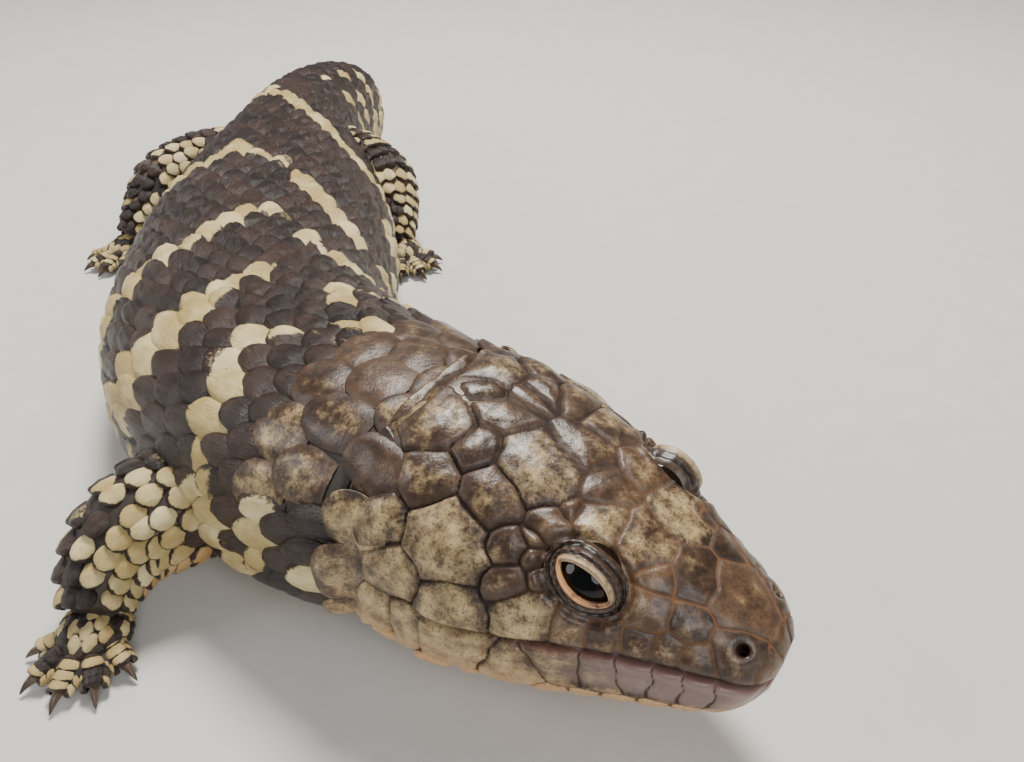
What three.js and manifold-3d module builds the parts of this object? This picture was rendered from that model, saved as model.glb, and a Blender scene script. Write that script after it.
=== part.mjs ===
// Shingleback skink (Tiliqua rugosa), a blue-tongued skink, life size, as a still model.
// Millimetres, +Z up. The floor is z = 0 and the origin lies on it, in the middle of the
// flat of the belly. The middle of the trunk faces -Y, the head turns to +X.
import * as THREE from 'three';
import { mergeVertices } from 'three/addons/utils/BufferGeometryUtils.js';
import { ConvexGeometry } from 'three/addons/geometries/ConvexGeometry.js';
import Module from 'manifold-3d';

const wasm = await Module();
wasm.setup();

// Driving sizes. Lengths along the body are counted from the tip of the tail.
const TAIL = 83;
const TRUNK = 160;
const NECK = 37;
const BODY_LENGTH = TAIL + TRUNK + NECK;
const MID_TRUNK = 160;
const HEAD_LENGTH = 64.5;
const TAIL_CURL = 21;
const TAIL_CURL_END = 110;
const NECK_BEND = 42;
const NECK_BEND_START = 171;
const NECK_BEND_LENGTH = 89;
const GAP = 0.3;

// Stations of the body: place, half width, top and underside.
const BODY_STATIONS = [
  [0, 5, 22, 8], [5, 11, 30, 4], [15, 15.2, 36, 1], [32, 18.2, 40, -1], [58, 21, 42.5, -1.5],
  [85, 24, 43, -1.5], [120, 31.5, 42.8, -1.5], [160, 35.7, 42.5, -1.5], [200, 34, 43.5, -1.5],
  [228, 32.5, 45.5, -1.5], [252, 31, 47.5, -0.5], [284, 27, 50, 3],
];
// Nodes of the body: name, rear end, front end, scutes round it, rows of scutes, their height.
const BODY_NODES = [
  ['tail_tip', 0, 40, 12, 6, 1.2],
  ['tail_base', 40, 83, 14, 6, 1.3],
  ['torso_rear', 83, 137, 16, 6, 1.4],
  ['torso_mid', 137, 191, 18, 6, 1.5],
  ['torso_front', 191, 243, 18, 6, 1.4],
  ['neck', 243, 280, 16, 5, 1.2],
];
// Stations of the head: place from the snout (0) to the back (1), half width, top and
// underside above the line of the mouth, and the height of the widest part.
const HEAD_STATIONS = [
  [0, 2.8, 5.8, -1.2, 2.6], [0.03, 6.8, 8.4, -4.5, 1.2], [0.08, 9.7, 10.2, -6.5, 0],
  [0.16, 12.4, 12.5, -8.5, -0.5], [0.3, 16.2, 16.2, -11, -1.5], [0.45, 20.2, 19.6, -13.5, -3],
  [0.6, 23.5, 21.9, -15.5, -4], [0.75, 25.8, 23.2, -17, -4.5], [0.88, 25.9, 23.4, -17.5, -4],
  [1, 24, 22.5, -17, -3],
];
const HEAD_YAW = 6.4;
const HEAD_PITCH = -5;
const HEAD_ROLL = -2.3;
const MOUTH_HEIGHT = 28.3;
const MOUTH_CORNER = 0.72;
// The line of the mouth in the head's side view: place from the snout and height.
const MOUTH_LINE = [[0, 2.4], [0.12, 4.6], [0.25, 5.2], [0.4, 4.6], [0.6, 2.4], [0.72, 1.8]];
const JAW_REAR = 0.8;

// A smooth step from 0 to 1.
function smooth(t) {
  const x = Math.min(1, Math.max(0, t));
  return x * x * (3 - 2 * x);
}

// A monotone cubic through one column of a table of stations.
function curveThrough(stations, column) {
  const x = stations.map((row) => row[0]);
  const y = stations.map((row) => row[column]);
  const slope = x.slice(1).map((value, i) => (y[i + 1] - y[i]) / (value - x[i]));
  const tangent = y.map((value, i) => {
    if (i === 0) return slope[0];
    if (i === y.length - 1) return slope[i - 1];
    const [a, b] = [slope[i - 1], slope[i]];
    return a * b <= 0 ? 0 : (2 * a * b) / (a + b);
  });
  return (at) => {
    const place = Math.min(x[x.length - 1], Math.max(x[0], at));
    let i = 0;
    while (i < x.length - 2 && place > x[i + 1]) i += 1;
    const span = x[i + 1] - x[i];
    const t = (place - x[i]) / span;
    const near = (1 + 2 * t) * (1 - t) ** 2 * y[i] + t * (1 - t) ** 2 * span * tangent[i];
    return near + t * t * (3 - 2 * t) * y[i + 1] + t * t * (t - 1) * span * tangent[i + 1];
  };
}

// Draws between 0 and 1 that come out the same each time.
function seeded(seed) {
  let state = seed;
  return () => {
    state = (state * 1664525 + 1013904223) % 4294967296;
    return state / 4294967296;
  };
}

function power(value, exponent) {
  return Math.sign(value) * Math.abs(value) ** exponent;
}

// A closed mesh as a solid, with its faces turned out.
function toSolid(geometry) {
  const plain = new THREE.BufferGeometry();
  plain.setAttribute('position', geometry.getAttribute('position').clone());
  if (geometry.index) plain.setIndex(geometry.index.clone());
  const merged = mergeVertices(plain, 1e-4);
  const points = merged.getAttribute('position');
  const corners = Uint32Array.from(merged.index.array);
  const [a, b, c] = [new THREE.Vector3(), new THREE.Vector3(), new THREE.Vector3()];
  let volume = 0;
  for (let i = 0; i < corners.length; i += 3) {
    a.fromBufferAttribute(points, corners[i]);
    b.fromBufferAttribute(points, corners[i + 1]);
    c.fromBufferAttribute(points, corners[i + 2]);
    volume += a.dot(b.cross(c));
  }
  if (volume < 0) corners.reverse();
  return new wasm.Manifold(new wasm.Mesh({
    numProp: 3,
    vertProperties: Float32Array.from(points.array),
    triVerts: corners,
  }));
}

function largest(solid) {
  const parts = solid.decompose();
  return parts.reduce((best, part) => (part.volume() > best.volume() ? part : best));
}

function toGeometry(solid) {
  const mesh = solid.getMesh();
  const geometry = new THREE.BufferGeometry();
  geometry.setAttribute('position', new THREE.BufferAttribute(Float32Array.from(mesh.vertProperties), 3));
  geometry.setIndex(new THREE.BufferAttribute(Uint32Array.from(mesh.triVerts), 1));
  return geometry;
}

function join(solids) {
  return solids.reduce((whole, solid) => whole.add(solid));
}

// A closed skin over rings of points, with a fan over each end.
function skinRings(rings) {
  const count = rings[0].length;
  const points = rings.flat();
  const centre = (ring) => ring.reduce((sum, p) => sum.add(p), new THREE.Vector3()).divideScalar(count);
  points.push(centre(rings[0]), centre(rings[rings.length - 1]));
  const index = [];
  const last = (rings.length - 1) * count;
  for (let j = 0; j < count; j += 1) {
    const k = (j + 1) % count;
    for (let i = 0; i < rings.length - 1; i += 1) {
      const [a, b] = [i * count, (i + 1) * count];
      index.push(a + j, a + k, b + k, a + j, b + k, b + j);
    }
    index.push(points.length - 2, k, j, points.length - 1, last + j, last + k);
  }
  const geometry = new THREE.BufferGeometry();
  geometry.setAttribute('position', new THREE.Float32BufferAttribute(points.flatMap((p) => p.toArray()), 3));
  geometry.setIndex(index);
  return geometry;
}

// The line of the body on the floor, worked out by following its heading.
function headingAt(s) {
  const tail = TAIL_CURL * (1 - smooth(s / TAIL_CURL_END));
  const neck = NECK_BEND * smooth((s - NECK_BEND_START) / NECK_BEND_LENGTH);
  return THREE.MathUtils.degToRad(-90 - tail + neck);
}

const LINE_STEP = 0.5;
const LINE_OVERRUN = 8;
const bodyLine = [new THREE.Vector2()];
for (let s = LINE_STEP; s <= BODY_LENGTH + LINE_OVERRUN; s += LINE_STEP) {
  const heading = headingAt(s - LINE_STEP / 2);
  const step = new THREE.Vector2(Math.cos(heading), Math.sin(heading)).multiplyScalar(LINE_STEP);
  bodyLine.push(bodyLine[bodyLine.length - 1].clone().add(step));
}
const lineStart = bodyLine[MID_TRUNK / LINE_STEP].clone();

function lineAt(s) {
  const place = Math.max(0, s) / LINE_STEP;
  const i = Math.min(bodyLine.length - 2, Math.floor(place));
  return bodyLine[i].clone().lerp(bodyLine[i + 1], place - i).sub(lineStart);
}

const bodyWidth = curveThrough(BODY_STATIONS, 1);
const bodyTop = curveThrough(BODY_STATIONS, 2);
const bodyUnder = curveThrough(BODY_STATIONS, 3);
const BODY_WAIST = 0.4;

// A point of the body's skin at place s and angle a (0 left side, 90 degrees the back), raised.
function bodyPoint(s, a, raise = 0, floor = 0) {
  const [w, top, under] = [bodyWidth(s), bodyTop(s), bodyUnder(s)];
  const middle = under + (top - under) * BODY_WAIST;
  const section = (angle) => {
    const up = Math.sin(angle);
    const side = w * power(Math.cos(angle), up > 0 ? 0.87 : 0.8);
    const height = up > 0 ? (top - middle) * up ** 0.87 : (middle - under) * power(up, 0.72);
    return new THREE.Vector2(side, middle + height);
  };
  const here = section(a);
  const along = section(a + 0.02).sub(section(a - 0.02)).normalize();
  here.add(new THREE.Vector2(along.y, -along.x).multiplyScalar(raise));
  const heading = headingAt(s);
  const centre = lineAt(s);
  return new THREE.Vector3(
    centre.x - Math.sin(heading) * here.x,
    centre.y + Math.cos(heading) * here.x,
    Math.max(here.y, floor),
  );
}

// A length of the body in rows of scutes: each scute rises to its free rear edge, which ends
// in a point, and drops there to the row behind it.
function bodyLength(from, to, around, rows, height, seed, grow = 0) {
  const draw = seeded(seed);
  const corners = around * 2;
  const pitch = (to - from) / rows;
  const rings = [];
  const floor = grow ? -1 : 0;
  const ring = (placeAt, raiseAt) => {
    const points = [];
    for (let j = 0; j < corners; j += 1) {
      const angle = (j / corners) * Math.PI * 2;
      points.push(bodyPoint(placeAt(j), angle, raiseAt(j, angle) + grow, floor));
    }
    rings.push(points);
  };
  ring(() => from - grow, () => 0);
  for (let i = 0; i < rows; i += 1) {
    const middleOf = (j) => (j + i) % 2 === 0;
    const vary = Array.from({ length: corners }, () => 0.8 + 0.4 * draw());
    const onBack = (angle) => smooth((Math.sin(angle) + 0.6) / 0.5);
    if (height > 0) {
      ring(
        (j) => from + pitch * (i + (middleOf(j) ? 0.04 : 0.32)),
        (j, angle) => height * onBack(angle) * (middleOf(j) ? vary[j] : 0.3),
      );
    }
    ring(() => from + pitch * (i + 1) + (i === rows - 1 ? grow : 0), () => 0);
  }
  return toSolid(skinRings(rings));
}

// The head's own frame: forward along the head, left of it, and up.
const headBack = lineAt(BODY_LENGTH);
const headFrame = new THREE.Group();
headFrame.rotation.set(
  THREE.MathUtils.degToRad(-HEAD_ROLL),
  THREE.MathUtils.degToRad(-HEAD_PITCH),
  headingAt(BODY_LENGTH) + THREE.MathUtils.degToRad(HEAD_YAW),
  'ZYX',
);
headFrame.position.set(headBack.x, headBack.y, MOUTH_HEIGHT);
headFrame.updateMatrix();

const headWidth = curveThrough(HEAD_STATIONS, 1);
const headTop = curveThrough(HEAD_STATIONS, 2);
const headUnder = curveThrough(HEAD_STATIONS, 3);
const headWaist = curveThrough(HEAD_STATIONS, 4);

// A point of the head in its own frame, at place u from the snout and angle a.
function headPoint(u, a, raise = 0) {
  const [w, top, under, waist] = [headWidth(u), headTop(u), headUnder(u), headWaist(u)];
  const up = Math.sin(a);
  const side = w * power(Math.cos(a), up > 0 ? 0.82 : 0.72);
  const height = up > 0 ? (top - waist) * up ** 0.82 : (waist - under) * power(up, 0.72);
  const outward = new THREE.Vector2(side / w, height / (up > 0 ? top - waist : waist - under)).normalize();
  return new THREE.Vector3(
    (1 - u) * HEAD_LENGTH,
    side + outward.x * raise,
    waist + height + outward.y * raise,
  );
}

function headCore(grow = 0) {
  const around = 18;
  const places = [0, 0.03, 0.09, 0.18, 0.32, 0.46, 0.6, 0.75, 0.88, 1];
  const rings = places.map((u, i) => {
    const reach = (i === 0 ? grow : 0) - (i === places.length - 1 ? grow : 0);
    const shrink = i === 0 ? -1.2 : 0;
    const points = [];
    for (let j = 0; j < around; j += 1) {
      const point = headPoint(u, (-j / around) * Math.PI * 2, grow + shrink);
      point.x += reach;
      points.push(point);
    }
    return points;
  });
  return toSolid(skinRings(rings));
}

// Nodes
const animal = new THREE.Group();
const SKIN = { color: 0x3a2b22, roughness: 0.55, metalness: 0 };
const CREAM = { color: 0xbfa87c, roughness: 0.6, metalness: 0 };
const EYE = { color: 0x0b0806, roughness: 0.08, metalness: 0 };
const CLAW = { color: 0x2a1d15, roughness: 0.4, metalness: 0 };

function addNode(name, solid, finish) {
  const mesh = new THREE.Mesh(toGeometry(largest(solid)), new THREE.MeshStandardMaterial(finish));
  mesh.name = name;
  animal.add(mesh);
  return mesh;
}

// Head and lower jaw, parted along the line of the mouth
const mouthAt = curveThrough(MOUTH_LINE, 1);

function jawPrism(clear) {
  const shape = new THREE.Shape();
  const steps = 8;
  const ahead = -0.2;
  const below = -40;
  const side = (u) => (1 - u) * HEAD_LENGTH;
  shape.moveTo(side(ahead), mouthAt(0) + clear);
  for (let i = 0; i < steps; i += 1) {
    const u = (i / steps) * MOUTH_CORNER;
    shape.lineTo(side(u), mouthAt(u) + clear);
  }
  shape.lineTo(side(MOUTH_CORNER) - clear, mouthAt(MOUTH_CORNER) + clear);
  shape.lineTo(side(JAW_REAR) - clear, -12);
  shape.lineTo(side(JAW_REAR) - clear, below);
  shape.lineTo(side(ahead), below);
  const slab = new THREE.ExtrudeGeometry(shape, { depth: 80, bevelEnabled: false });
  slab.rotateX(Math.PI / 2);
  slab.translate(0, 40, 0);
  return toSolid(slab);
}

// Head plates. Each row lists plates by place from the snout and degrees down from the crown;
// all but those on the crown are there on both sides.
const PLATE_ROWS = {
  crown: [[0.14, 0], [0.35, 0], [0.58, 0], [0.76, 0], [0.92, 0]],
  snout: [[0.1, 42], [0.25, 17], [0.29, 38], [0.2, 46]],
  brow: [[0.37, 20], [0.45, 27], [0.47, 9], [0.56, 31]],
  crownSides: [[0.63, 18], [0.7, 33], [0.8, 17], [0.83, 36], [0.92, 20]],
  temple: [[0.6, 47], [0.59, 60], [0.72, 53], [0.73, 71], [0.85, 56], [0.84, 75]],
  nape: [[0.965, 42], [0.965, 62], [0.965, 82]],
  upperLip: [[0.05, 62], [0.14, 62], [0.23, 63], [0.32, 64], [0.41, 67], [0.51, 71], [0.63, 78]],
  lowerLip: [[0.1, 88], [0.21, 85], [0.32, 85], [0.43, 87], [0.54, 91], [0.66, 96]],
  cheek: [[0.78, 93], [0.9, 98]],
  chin: [[0.22, 112], [0.42, 114], [0.62, 118]],
};
const PLATE_BOUND = 12;
const PLATE_GROOVE = 0.1;
const PLATE_BEVEL = 1.3;
const PLATE_SINK = 1;
const PLATE_HEIGHT = 1;
const PLATE_SCALE = 20;
const EYE_SEED = { u: 0.42, down: 45 };

// Keeps the part of a flat polygon on the near side of the line halfway from one seed to another.
function clipNear(polygon, seed, other, margin) {
  const middle = seed.clone().add(other).multiplyScalar(0.5);
  const away = other.clone().sub(seed).normalize();
  const depth = (point) => point.clone().sub(middle).dot(away) + margin;
  return polygon.flatMap((point, i) => {
    const next = polygon[(i + 1) % polygon.length];
    const [here, there] = [depth(point), depth(next)];
    const kept = here <= 0 ? [point] : [];
    if (here * there < 0) kept.push(point.clone().lerp(next, here / (here - there)));
    return kept;
  });
}

function plateCell(seeds, i, margin) {
  const seed = seeds[i].at;
  let cell = [[-1, -1], [1, -1], [1, 1], [-1, 1]].map(([x, y]) => (
    new THREE.Vector2(x, y).multiplyScalar(PLATE_BOUND).add(seed)));
  seeds.forEach((other, k) => {
    if (k !== i && cell.length > 2) cell = clipNear(cell, seed, other.at, margin);
  });
  const limit = (value, low, high) => Math.min(high, Math.max(low, value));
  return cell.map((point) => new THREE.Vector2(limit(point.x, 0.3, HEAD_LENGTH * 0.985), point.y));
}

const plateSeeds = [];
for (const [row, places] of Object.entries(PLATE_ROWS)) {
  for (const [u, down] of places) {
    for (const sign of row === 'crown' ? [1] : [1, -1]) {
      const across = THREE.MathUtils.degToRad(down) * PLATE_SCALE * sign;
      plateSeeds.push({ row, at: new THREE.Vector2(u * HEAD_LENGTH, across) });
    }
  }
}
for (const sign of [1, -1]) {
  const across = THREE.MathUtils.degToRad(EYE_SEED.down) * PLATE_SCALE * sign;
  plateSeeds.push({ row: 'eye', at: new THREE.Vector2(EYE_SEED.u * HEAD_LENGTH, across) });
}

// A low plate with a bevelled rim, sunk into the head.
function headPlate(i) {
  const layers = [[PLATE_GROOVE, -PLATE_SINK], [PLATE_BEVEL, PLATE_HEIGHT]];
  const points = layers.flatMap(([margin, raise]) => plateCell(plateSeeds, i, margin).map((p) => (
    headPoint(p.x / HEAD_LENGTH, Math.PI / 2 - p.y / PLATE_SCALE, raise))));
  return points.length > 6 ? toSolid(new ConvexGeometry(points)) : null;
}

const EYE_PLACE = { u: 0.41, side: 14.0, height: 15.0 };
const EYE_RADIUS = 6.2;
const EYE_DEPTH = 4.6;
const EYE_OUTWARD = new THREE.Vector3(0.22, 0.77, 0.6).normalize();
const LID_LENGTH = 6.6;
const LID_HEIGHT = 4.9;
const LID_RISE = 2.4;
const APERTURE = { length: 9, height: 4.6 };
const EYE_TILT = 14;
const SLIT_DEPTH = 8;
// Hollows on each side of the head: place from the snout, side, height and half sizes.
const NOSTRIL = { u: 0.085, side: 9.6, height: 4.6, half: [1.1, 1.6, 0.8] };
const EAR_CUP = { u: 0.93, side: 25.5, height: -4, half: [1.3, 3, 3.2] };

// A frame at the eye: x along the lids toward the snout, z out of the head.
function eyeMatrix(mirror) {
  const out = EYE_OUTWARD.clone();
  const forward = new THREE.Vector3(1, 0, 0).addScaledVector(out, -out.x).normalize();
  forward.applyAxisAngle(out, THREE.MathUtils.degToRad(EYE_TILT));
  const up = new THREE.Vector3().crossVectors(out, forward);
  const matrix = new THREE.Matrix4().makeBasis(forward, up, out);
  matrix.setPosition((1 - EYE_PLACE.u) * HEAD_LENGTH, EYE_PLACE.side, EYE_PLACE.height);
  return mirror ? new THREE.Matrix4().makeScale(1, -1, 1).multiply(matrix) : matrix;
}

function placed(geometry, matrix) {
  return geometry.clone().applyMatrix4(matrix);
}

function almond(length, height, depth) {
  const shape = new THREE.Shape();
  const half = length / 2;
  shape.moveTo(-half, 0);
  shape.quadraticCurveTo(0, -height, half, 0);
  shape.quadraticCurveTo(0, height, -half, 0);
  return mergedExtrude(shape, depth);
}

function mergedExtrude(shape, depth) {
  const geometry = new THREE.ExtrudeGeometry(shape, { depth, bevelEnabled: false, curveSegments: 5 });
  geometry.deleteAttribute('normal');
  geometry.deleteAttribute('uv');
  return mergeVertices(geometry, 1e-4);
}

function ball(radius, wide = 16, high = 10) {
  const geometry = new THREE.SphereGeometry(radius, wide, high);
  geometry.deleteAttribute('normal');
  geometry.deleteAttribute('uv');
  return mergeVertices(geometry, 1e-4);
}

// A flattened ball that cuts a nostril or an ear cup into one side of the head.
function hollow({ u, side, height, half }, mirror) {
  const geometry = ball(1, 10, 6).applyMatrix4(new THREE.Matrix4().makeScale(...half));
  return toSolid(geometry.translate((1 - u) * HEAD_LENGTH, mirror ? -side : side, height));
}

let head = headCore();
const plates = plateSeeds.map((seed, i) => (seed.row === 'eye' ? null : headPlate(i)));
head = join([head, ...plates.filter(Boolean)]);
for (const mirror of [false, true]) {
  const at = eyeMatrix(mirror);
  const lid = ball(1, 14, 8).applyMatrix4(new THREE.Matrix4().makeScale(LID_LENGTH, LID_HEIGHT, LID_RISE));
  head = head.add(toSolid(placed(lid, at)));
  const eyeCentre = new THREE.Matrix4().makeTranslation(0, 0, -EYE_DEPTH);
  head = head.subtract(toSolid(placed(ball(EYE_RADIUS + GAP, 14, 10).applyMatrix4(eyeCentre), at)));
  const slit = almond(APERTURE.length, APERTURE.height, SLIT_DEPTH);
  head = head.subtract(toSolid(placed(slit, at)));
  const name = mirror ? 'eye_right' : 'eye_left';
  const eyeball = placed(ball(EYE_RADIUS, 14, 10).applyMatrix4(eyeCentre), at).applyMatrix4(headFrame.matrix);
  addNode(name, toSolid(eyeball), EYE);
  head = head.subtract(hollow(NOSTRIL, mirror)).subtract(hollow(EAR_CUP, mirror));
}
const upperHead = head.subtract(jawPrism(GAP / 2));
const lowerJaw = head.intersect(jawPrism(-GAP / 2));
const inHeadFrame = (solid) => toSolid(toGeometry(largest(solid)).applyMatrix4(headFrame.matrix));
addNode('head', inHeadFrame(upperHead), SKIN);
addNode('lower_jaw', inHeadFrame(lowerJaw), CREAM);
const CLEAR_SIZE = 160;
const aheadOfNeck = new THREE.BoxGeometry(CLEAR_SIZE, CLEAR_SIZE, CLEAR_SIZE);
aheadOfNeck.translate(CLEAR_SIZE / 2 - GAP, 0, 0);
const headClear = toSolid(aheadOfNeck.applyMatrix4(headFrame.matrix));

// Trunk, neck and tail
const NECK_OVERRUN = 4;
const bodyClear = [];
BODY_NODES.forEach(([name, rear, front, around, rows, height], i) => {
  const from = rear === 0 ? 0 : rear + GAP / 2;
  const isNeck = name === 'neck';
  const to = isNeck ? front + NECK_OVERRUN : front - GAP / 2;
  const seed = 11 + i;
  let solid = bodyLength(from, to, around, rows, height, seed);
  if (isNeck) solid = solid.subtract(headClear);
  addNode(name, solid, SKIN);
  if (name !== 'tail_tip') bodyClear.push(bodyLength(from, to, around, rows, height, seed, GAP));
});

// Legs, feet and claws
const LIMBS = {
  foreleg_right: {
    foot: 'forefoot_right', claw: 'claw_fore_right', heading: -106, palm: [-18.5, -114.5], size: 1,
    points: [[6.5, -86, 15], [-4, -94.5, 16], [-12.5, -100.5, 15], [-17, -107, 11], [-18.3, -112.5, 7]],
    radii: [13, 12, 10.4, 8, 5.6],
  },
  foreleg_left: {
    foot: 'forefoot_left', claw: 'claw_fore_left', heading: -58, palm: [58.6, -76], size: 1,
    points: [[24.5, -72.5, 15], [37, -65.5, 16], [46, -65.5, 15], [53.5, -70, 11], [57.4, -74.4, 7]],
    radii: [13, 12, 10.4, 8, 5.6],
  },
  hindleg_right: {
    foot: 'hindfoot_right', claw: 'claw_hind_right', heading: -150, palm: [-52.5, 43.5], size: 1.04,
    points: [[-11.5, 74, 20], [-28, 68, 21], [-40.5, 60.5, 19], [-46.5, 52, 12.5], [-50.5, 45.5, 7.5]],
    radii: [13, 13, 11, 8, 5.4],
  },
  hindleg_left: {
    foot: 'hindfoot_left', claw: 'claw_hind_left', heading: -62, palm: [36.6, 31.5], size: 1.04,
    points: [[8.5, 72, 20], [21, 64, 21], [31, 53, 19], [34, 42.5, 12.5], [34.5, 34, 7.5]],
    radii: [13, 13, 11, 8, 5.4],
  },
};
const TOE_SPREAD = [-64, -31, 0, 29, 60];
const TOE_REACH = [8.2, 10.2, 10.8, 10.2, 8.4];
const TOE_RADIUS = { thick: 2.4, thin: 2 };
const TOE_HEIGHT = { root: 3, knuckle: 2.6, end: 2 };
const KNUCKLE = 0.6;
const PALM = { length: 6.4, width: 5.9, height: 4.4, middle: 3.8 };
const CLAW_LENGTH = 4.6;
// Stations of a claw: share of its length, height over the floor and radius.
const CLAW_STATIONS = [[0, 2.3, 1.3], [0.5, 2.1, 0.95], [1, 0.75, 0.25]];
const TOE_SIDES = 6;
const LEG_SIDES = 12;
const LEG_SCUTE = 0.9;

// A leg along a bent path, in rows of rounded scutes that rise toward the foot.
function legAlong(points, radii, seed) {
  const path = new THREE.CatmullRomCurve3(points.map((p) => new THREE.Vector3(...p)));
  const stretches = points.length - 1;
  const rows = stretches * 2;
  const frames = path.computeFrenetFrames(rows * 4);
  const draw = seeded(seed);
  const rings = [];
  const ring = (t, raiseAt) => {
    const centre = path.getPoint(t);
    const k = Math.min(stretches - 1, Math.floor(t * stretches));
    const radius = THREE.MathUtils.lerp(radii[k], radii[k + 1], t * stretches - k);
    const frame = Math.round(t * rows * 4);
    const round = [];
    for (let j = 0; j < LEG_SIDES; j += 1) {
      const angle = (j / LEG_SIDES) * Math.PI * 2;
      const reach = radius + raiseAt(j);
      const side = frames.normals[frame].clone().multiplyScalar(Math.cos(angle) * reach);
      round.push(side.addScaledVector(frames.binormals[frame], Math.sin(angle) * reach).add(centre));
    }
    rings.push(round);
  };
  ring(0, () => 0);
  for (let i = 0; i < rows; i += 1) {
    ring((i + 0.75) / rows, (j) => ((i + j) % 2 === 0 ? LEG_SCUTE * (0.7 + 0.6 * draw()) : 0.15));
    ring((i + 1) / rows, () => 0);
  }
  return toSolid(skinRings(rings));
}

function palmBall({ palm, heading, size }, grow = 0) {
  const geometry = ball(1, 12, 8);
  const [l, w, h] = [PALM.length, PALM.width, PALM.height].map((value) => value * size + grow);
  geometry.scale(l, w, h);
  geometry.rotateZ(THREE.MathUtils.degToRad(heading));
  geometry.translate(palm[0], palm[1], PALM.middle * size);
  onFloor(geometry, -grow);
  return toSolid(geometry);
}

function onFloor(geometry, floor) {
  const points = geometry.getAttribute('position');
  for (let i = 0; i < points.count; i += 1) points.setZ(i, Math.max(floor, points.getZ(i)));
}

// A straight tapered finger: rings across one heading, each with its reach, height and radius.
function fingerRings(limb, spread, stations, around) {
  const heading = THREE.MathUtils.degToRad(limb.heading + spread);
  const forward = new THREE.Vector2(Math.cos(heading), Math.sin(heading));
  return stations.map(([reach, height, radius]) => {
    const ring = [];
    for (let j = 0; j < around; j += 1) {
      const angle = ((j + 0.5) / around) * Math.PI * 2;
      const side = Math.cos(angle) * radius;
      const x = limb.palm[0] + forward.x * reach - forward.y * side;
      const y = limb.palm[1] + forward.y * reach + forward.x * side;
      ring.push(new THREE.Vector3(x, y, Math.max(0, height + Math.sin(angle) * radius)));
    }
    return ring;
  });
}

for (const [name, limb] of Object.entries(LIMBS)) {
  let leg = legAlong(limb.points, limb.radii, name.length);
  for (const solid of bodyClear) leg = leg.subtract(solid);
  leg = leg.subtract(palmBall(limb, GAP));
  let foot = palmBall(limb);
  TOE_SPREAD.forEach((spread, i) => {
    const reach = TOE_REACH[i] * limb.size;
    const { thick, thin } = TOE_RADIUS;
    const { root, knuckle, end } = TOE_HEIGHT;
    const toeStations = [[1, root, thick], [reach * KNUCKLE, knuckle, thick], [reach, end, thin]];
    const toe = fingerRings(limb, spread, toeStations, TOE_SIDES);
    foot = foot.add(toSolid(skinRings(toe)));
    const clawStations = CLAW_STATIONS.map(([share, height, radius]) => (
      [reach + GAP + CLAW_LENGTH * share, height, radius]));
    const claw = fingerRings(limb, spread, clawStations, TOE_SIDES);
    addNode(`${limb.claw}_${i + 1}`, toSolid(skinRings(claw)), CLAW);
  });
  leg = leg.subtract(foot);
  addNode(name, leg, SKIN);
  addNode(limb.foot, foot, CREAM);
}

export default animal;
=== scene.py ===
# Shingleback skink, still model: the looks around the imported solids.
# Sizes here are millimetres in the model's own frame; meshes are made in metres.
import bpy
import numpy as np
from mathutils import Euler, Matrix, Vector
from mathutils.bvhtree import BVHTree


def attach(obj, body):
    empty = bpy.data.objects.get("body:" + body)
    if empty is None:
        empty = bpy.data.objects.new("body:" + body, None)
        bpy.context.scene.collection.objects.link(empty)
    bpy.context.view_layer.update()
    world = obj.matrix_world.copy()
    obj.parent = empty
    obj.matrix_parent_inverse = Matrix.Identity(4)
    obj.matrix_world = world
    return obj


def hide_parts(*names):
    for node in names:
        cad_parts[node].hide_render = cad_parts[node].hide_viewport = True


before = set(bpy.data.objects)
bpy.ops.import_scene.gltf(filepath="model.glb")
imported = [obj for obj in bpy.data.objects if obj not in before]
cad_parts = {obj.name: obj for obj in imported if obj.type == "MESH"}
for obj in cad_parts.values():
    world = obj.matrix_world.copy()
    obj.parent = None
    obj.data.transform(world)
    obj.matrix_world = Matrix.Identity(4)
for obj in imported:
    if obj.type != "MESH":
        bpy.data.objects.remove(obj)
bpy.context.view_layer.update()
mm = 0.001
rng = np.random.default_rng(11)

# Camera, as the photograph was taken
view = {
    "place": (45.7, -219.8, 127.7),
    "yaw": -6.1,
    "pitch": 35.1,
    "focalPixels": 839.8,
    "imageWidth": 1024,
    "imageHeight": 762,
    "sensor": 36.0,
}


def makeCamera():
    data = bpy.data.cameras.new("camera")
    data.sensor_width = view["sensor"]
    data.lens = view["sensor"] * view["focalPixels"] / view["imageWidth"]
    data.clip_start = 0.01
    data.clip_end = 20
    camera = bpy.data.objects.new("camera", data)
    camera.location = Vector(view["place"]) * mm
    camera.rotation_euler = Euler((np.radians(90 - view["pitch"]), 0, np.radians(view["yaw"])), "XYZ")
    bpy.context.scene.collection.objects.link(camera)
    bpy.context.scene.camera = camera
    bpy.context.view_layer.update()
    return camera


camera = makeCamera()


# Small maths
def smooth(t):
    t = np.clip(t, 0, 1)
    return t * t * (3 - 2 * t)


def power(value, exponent):
    return np.sign(value) * np.abs(value) ** exponent


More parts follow.
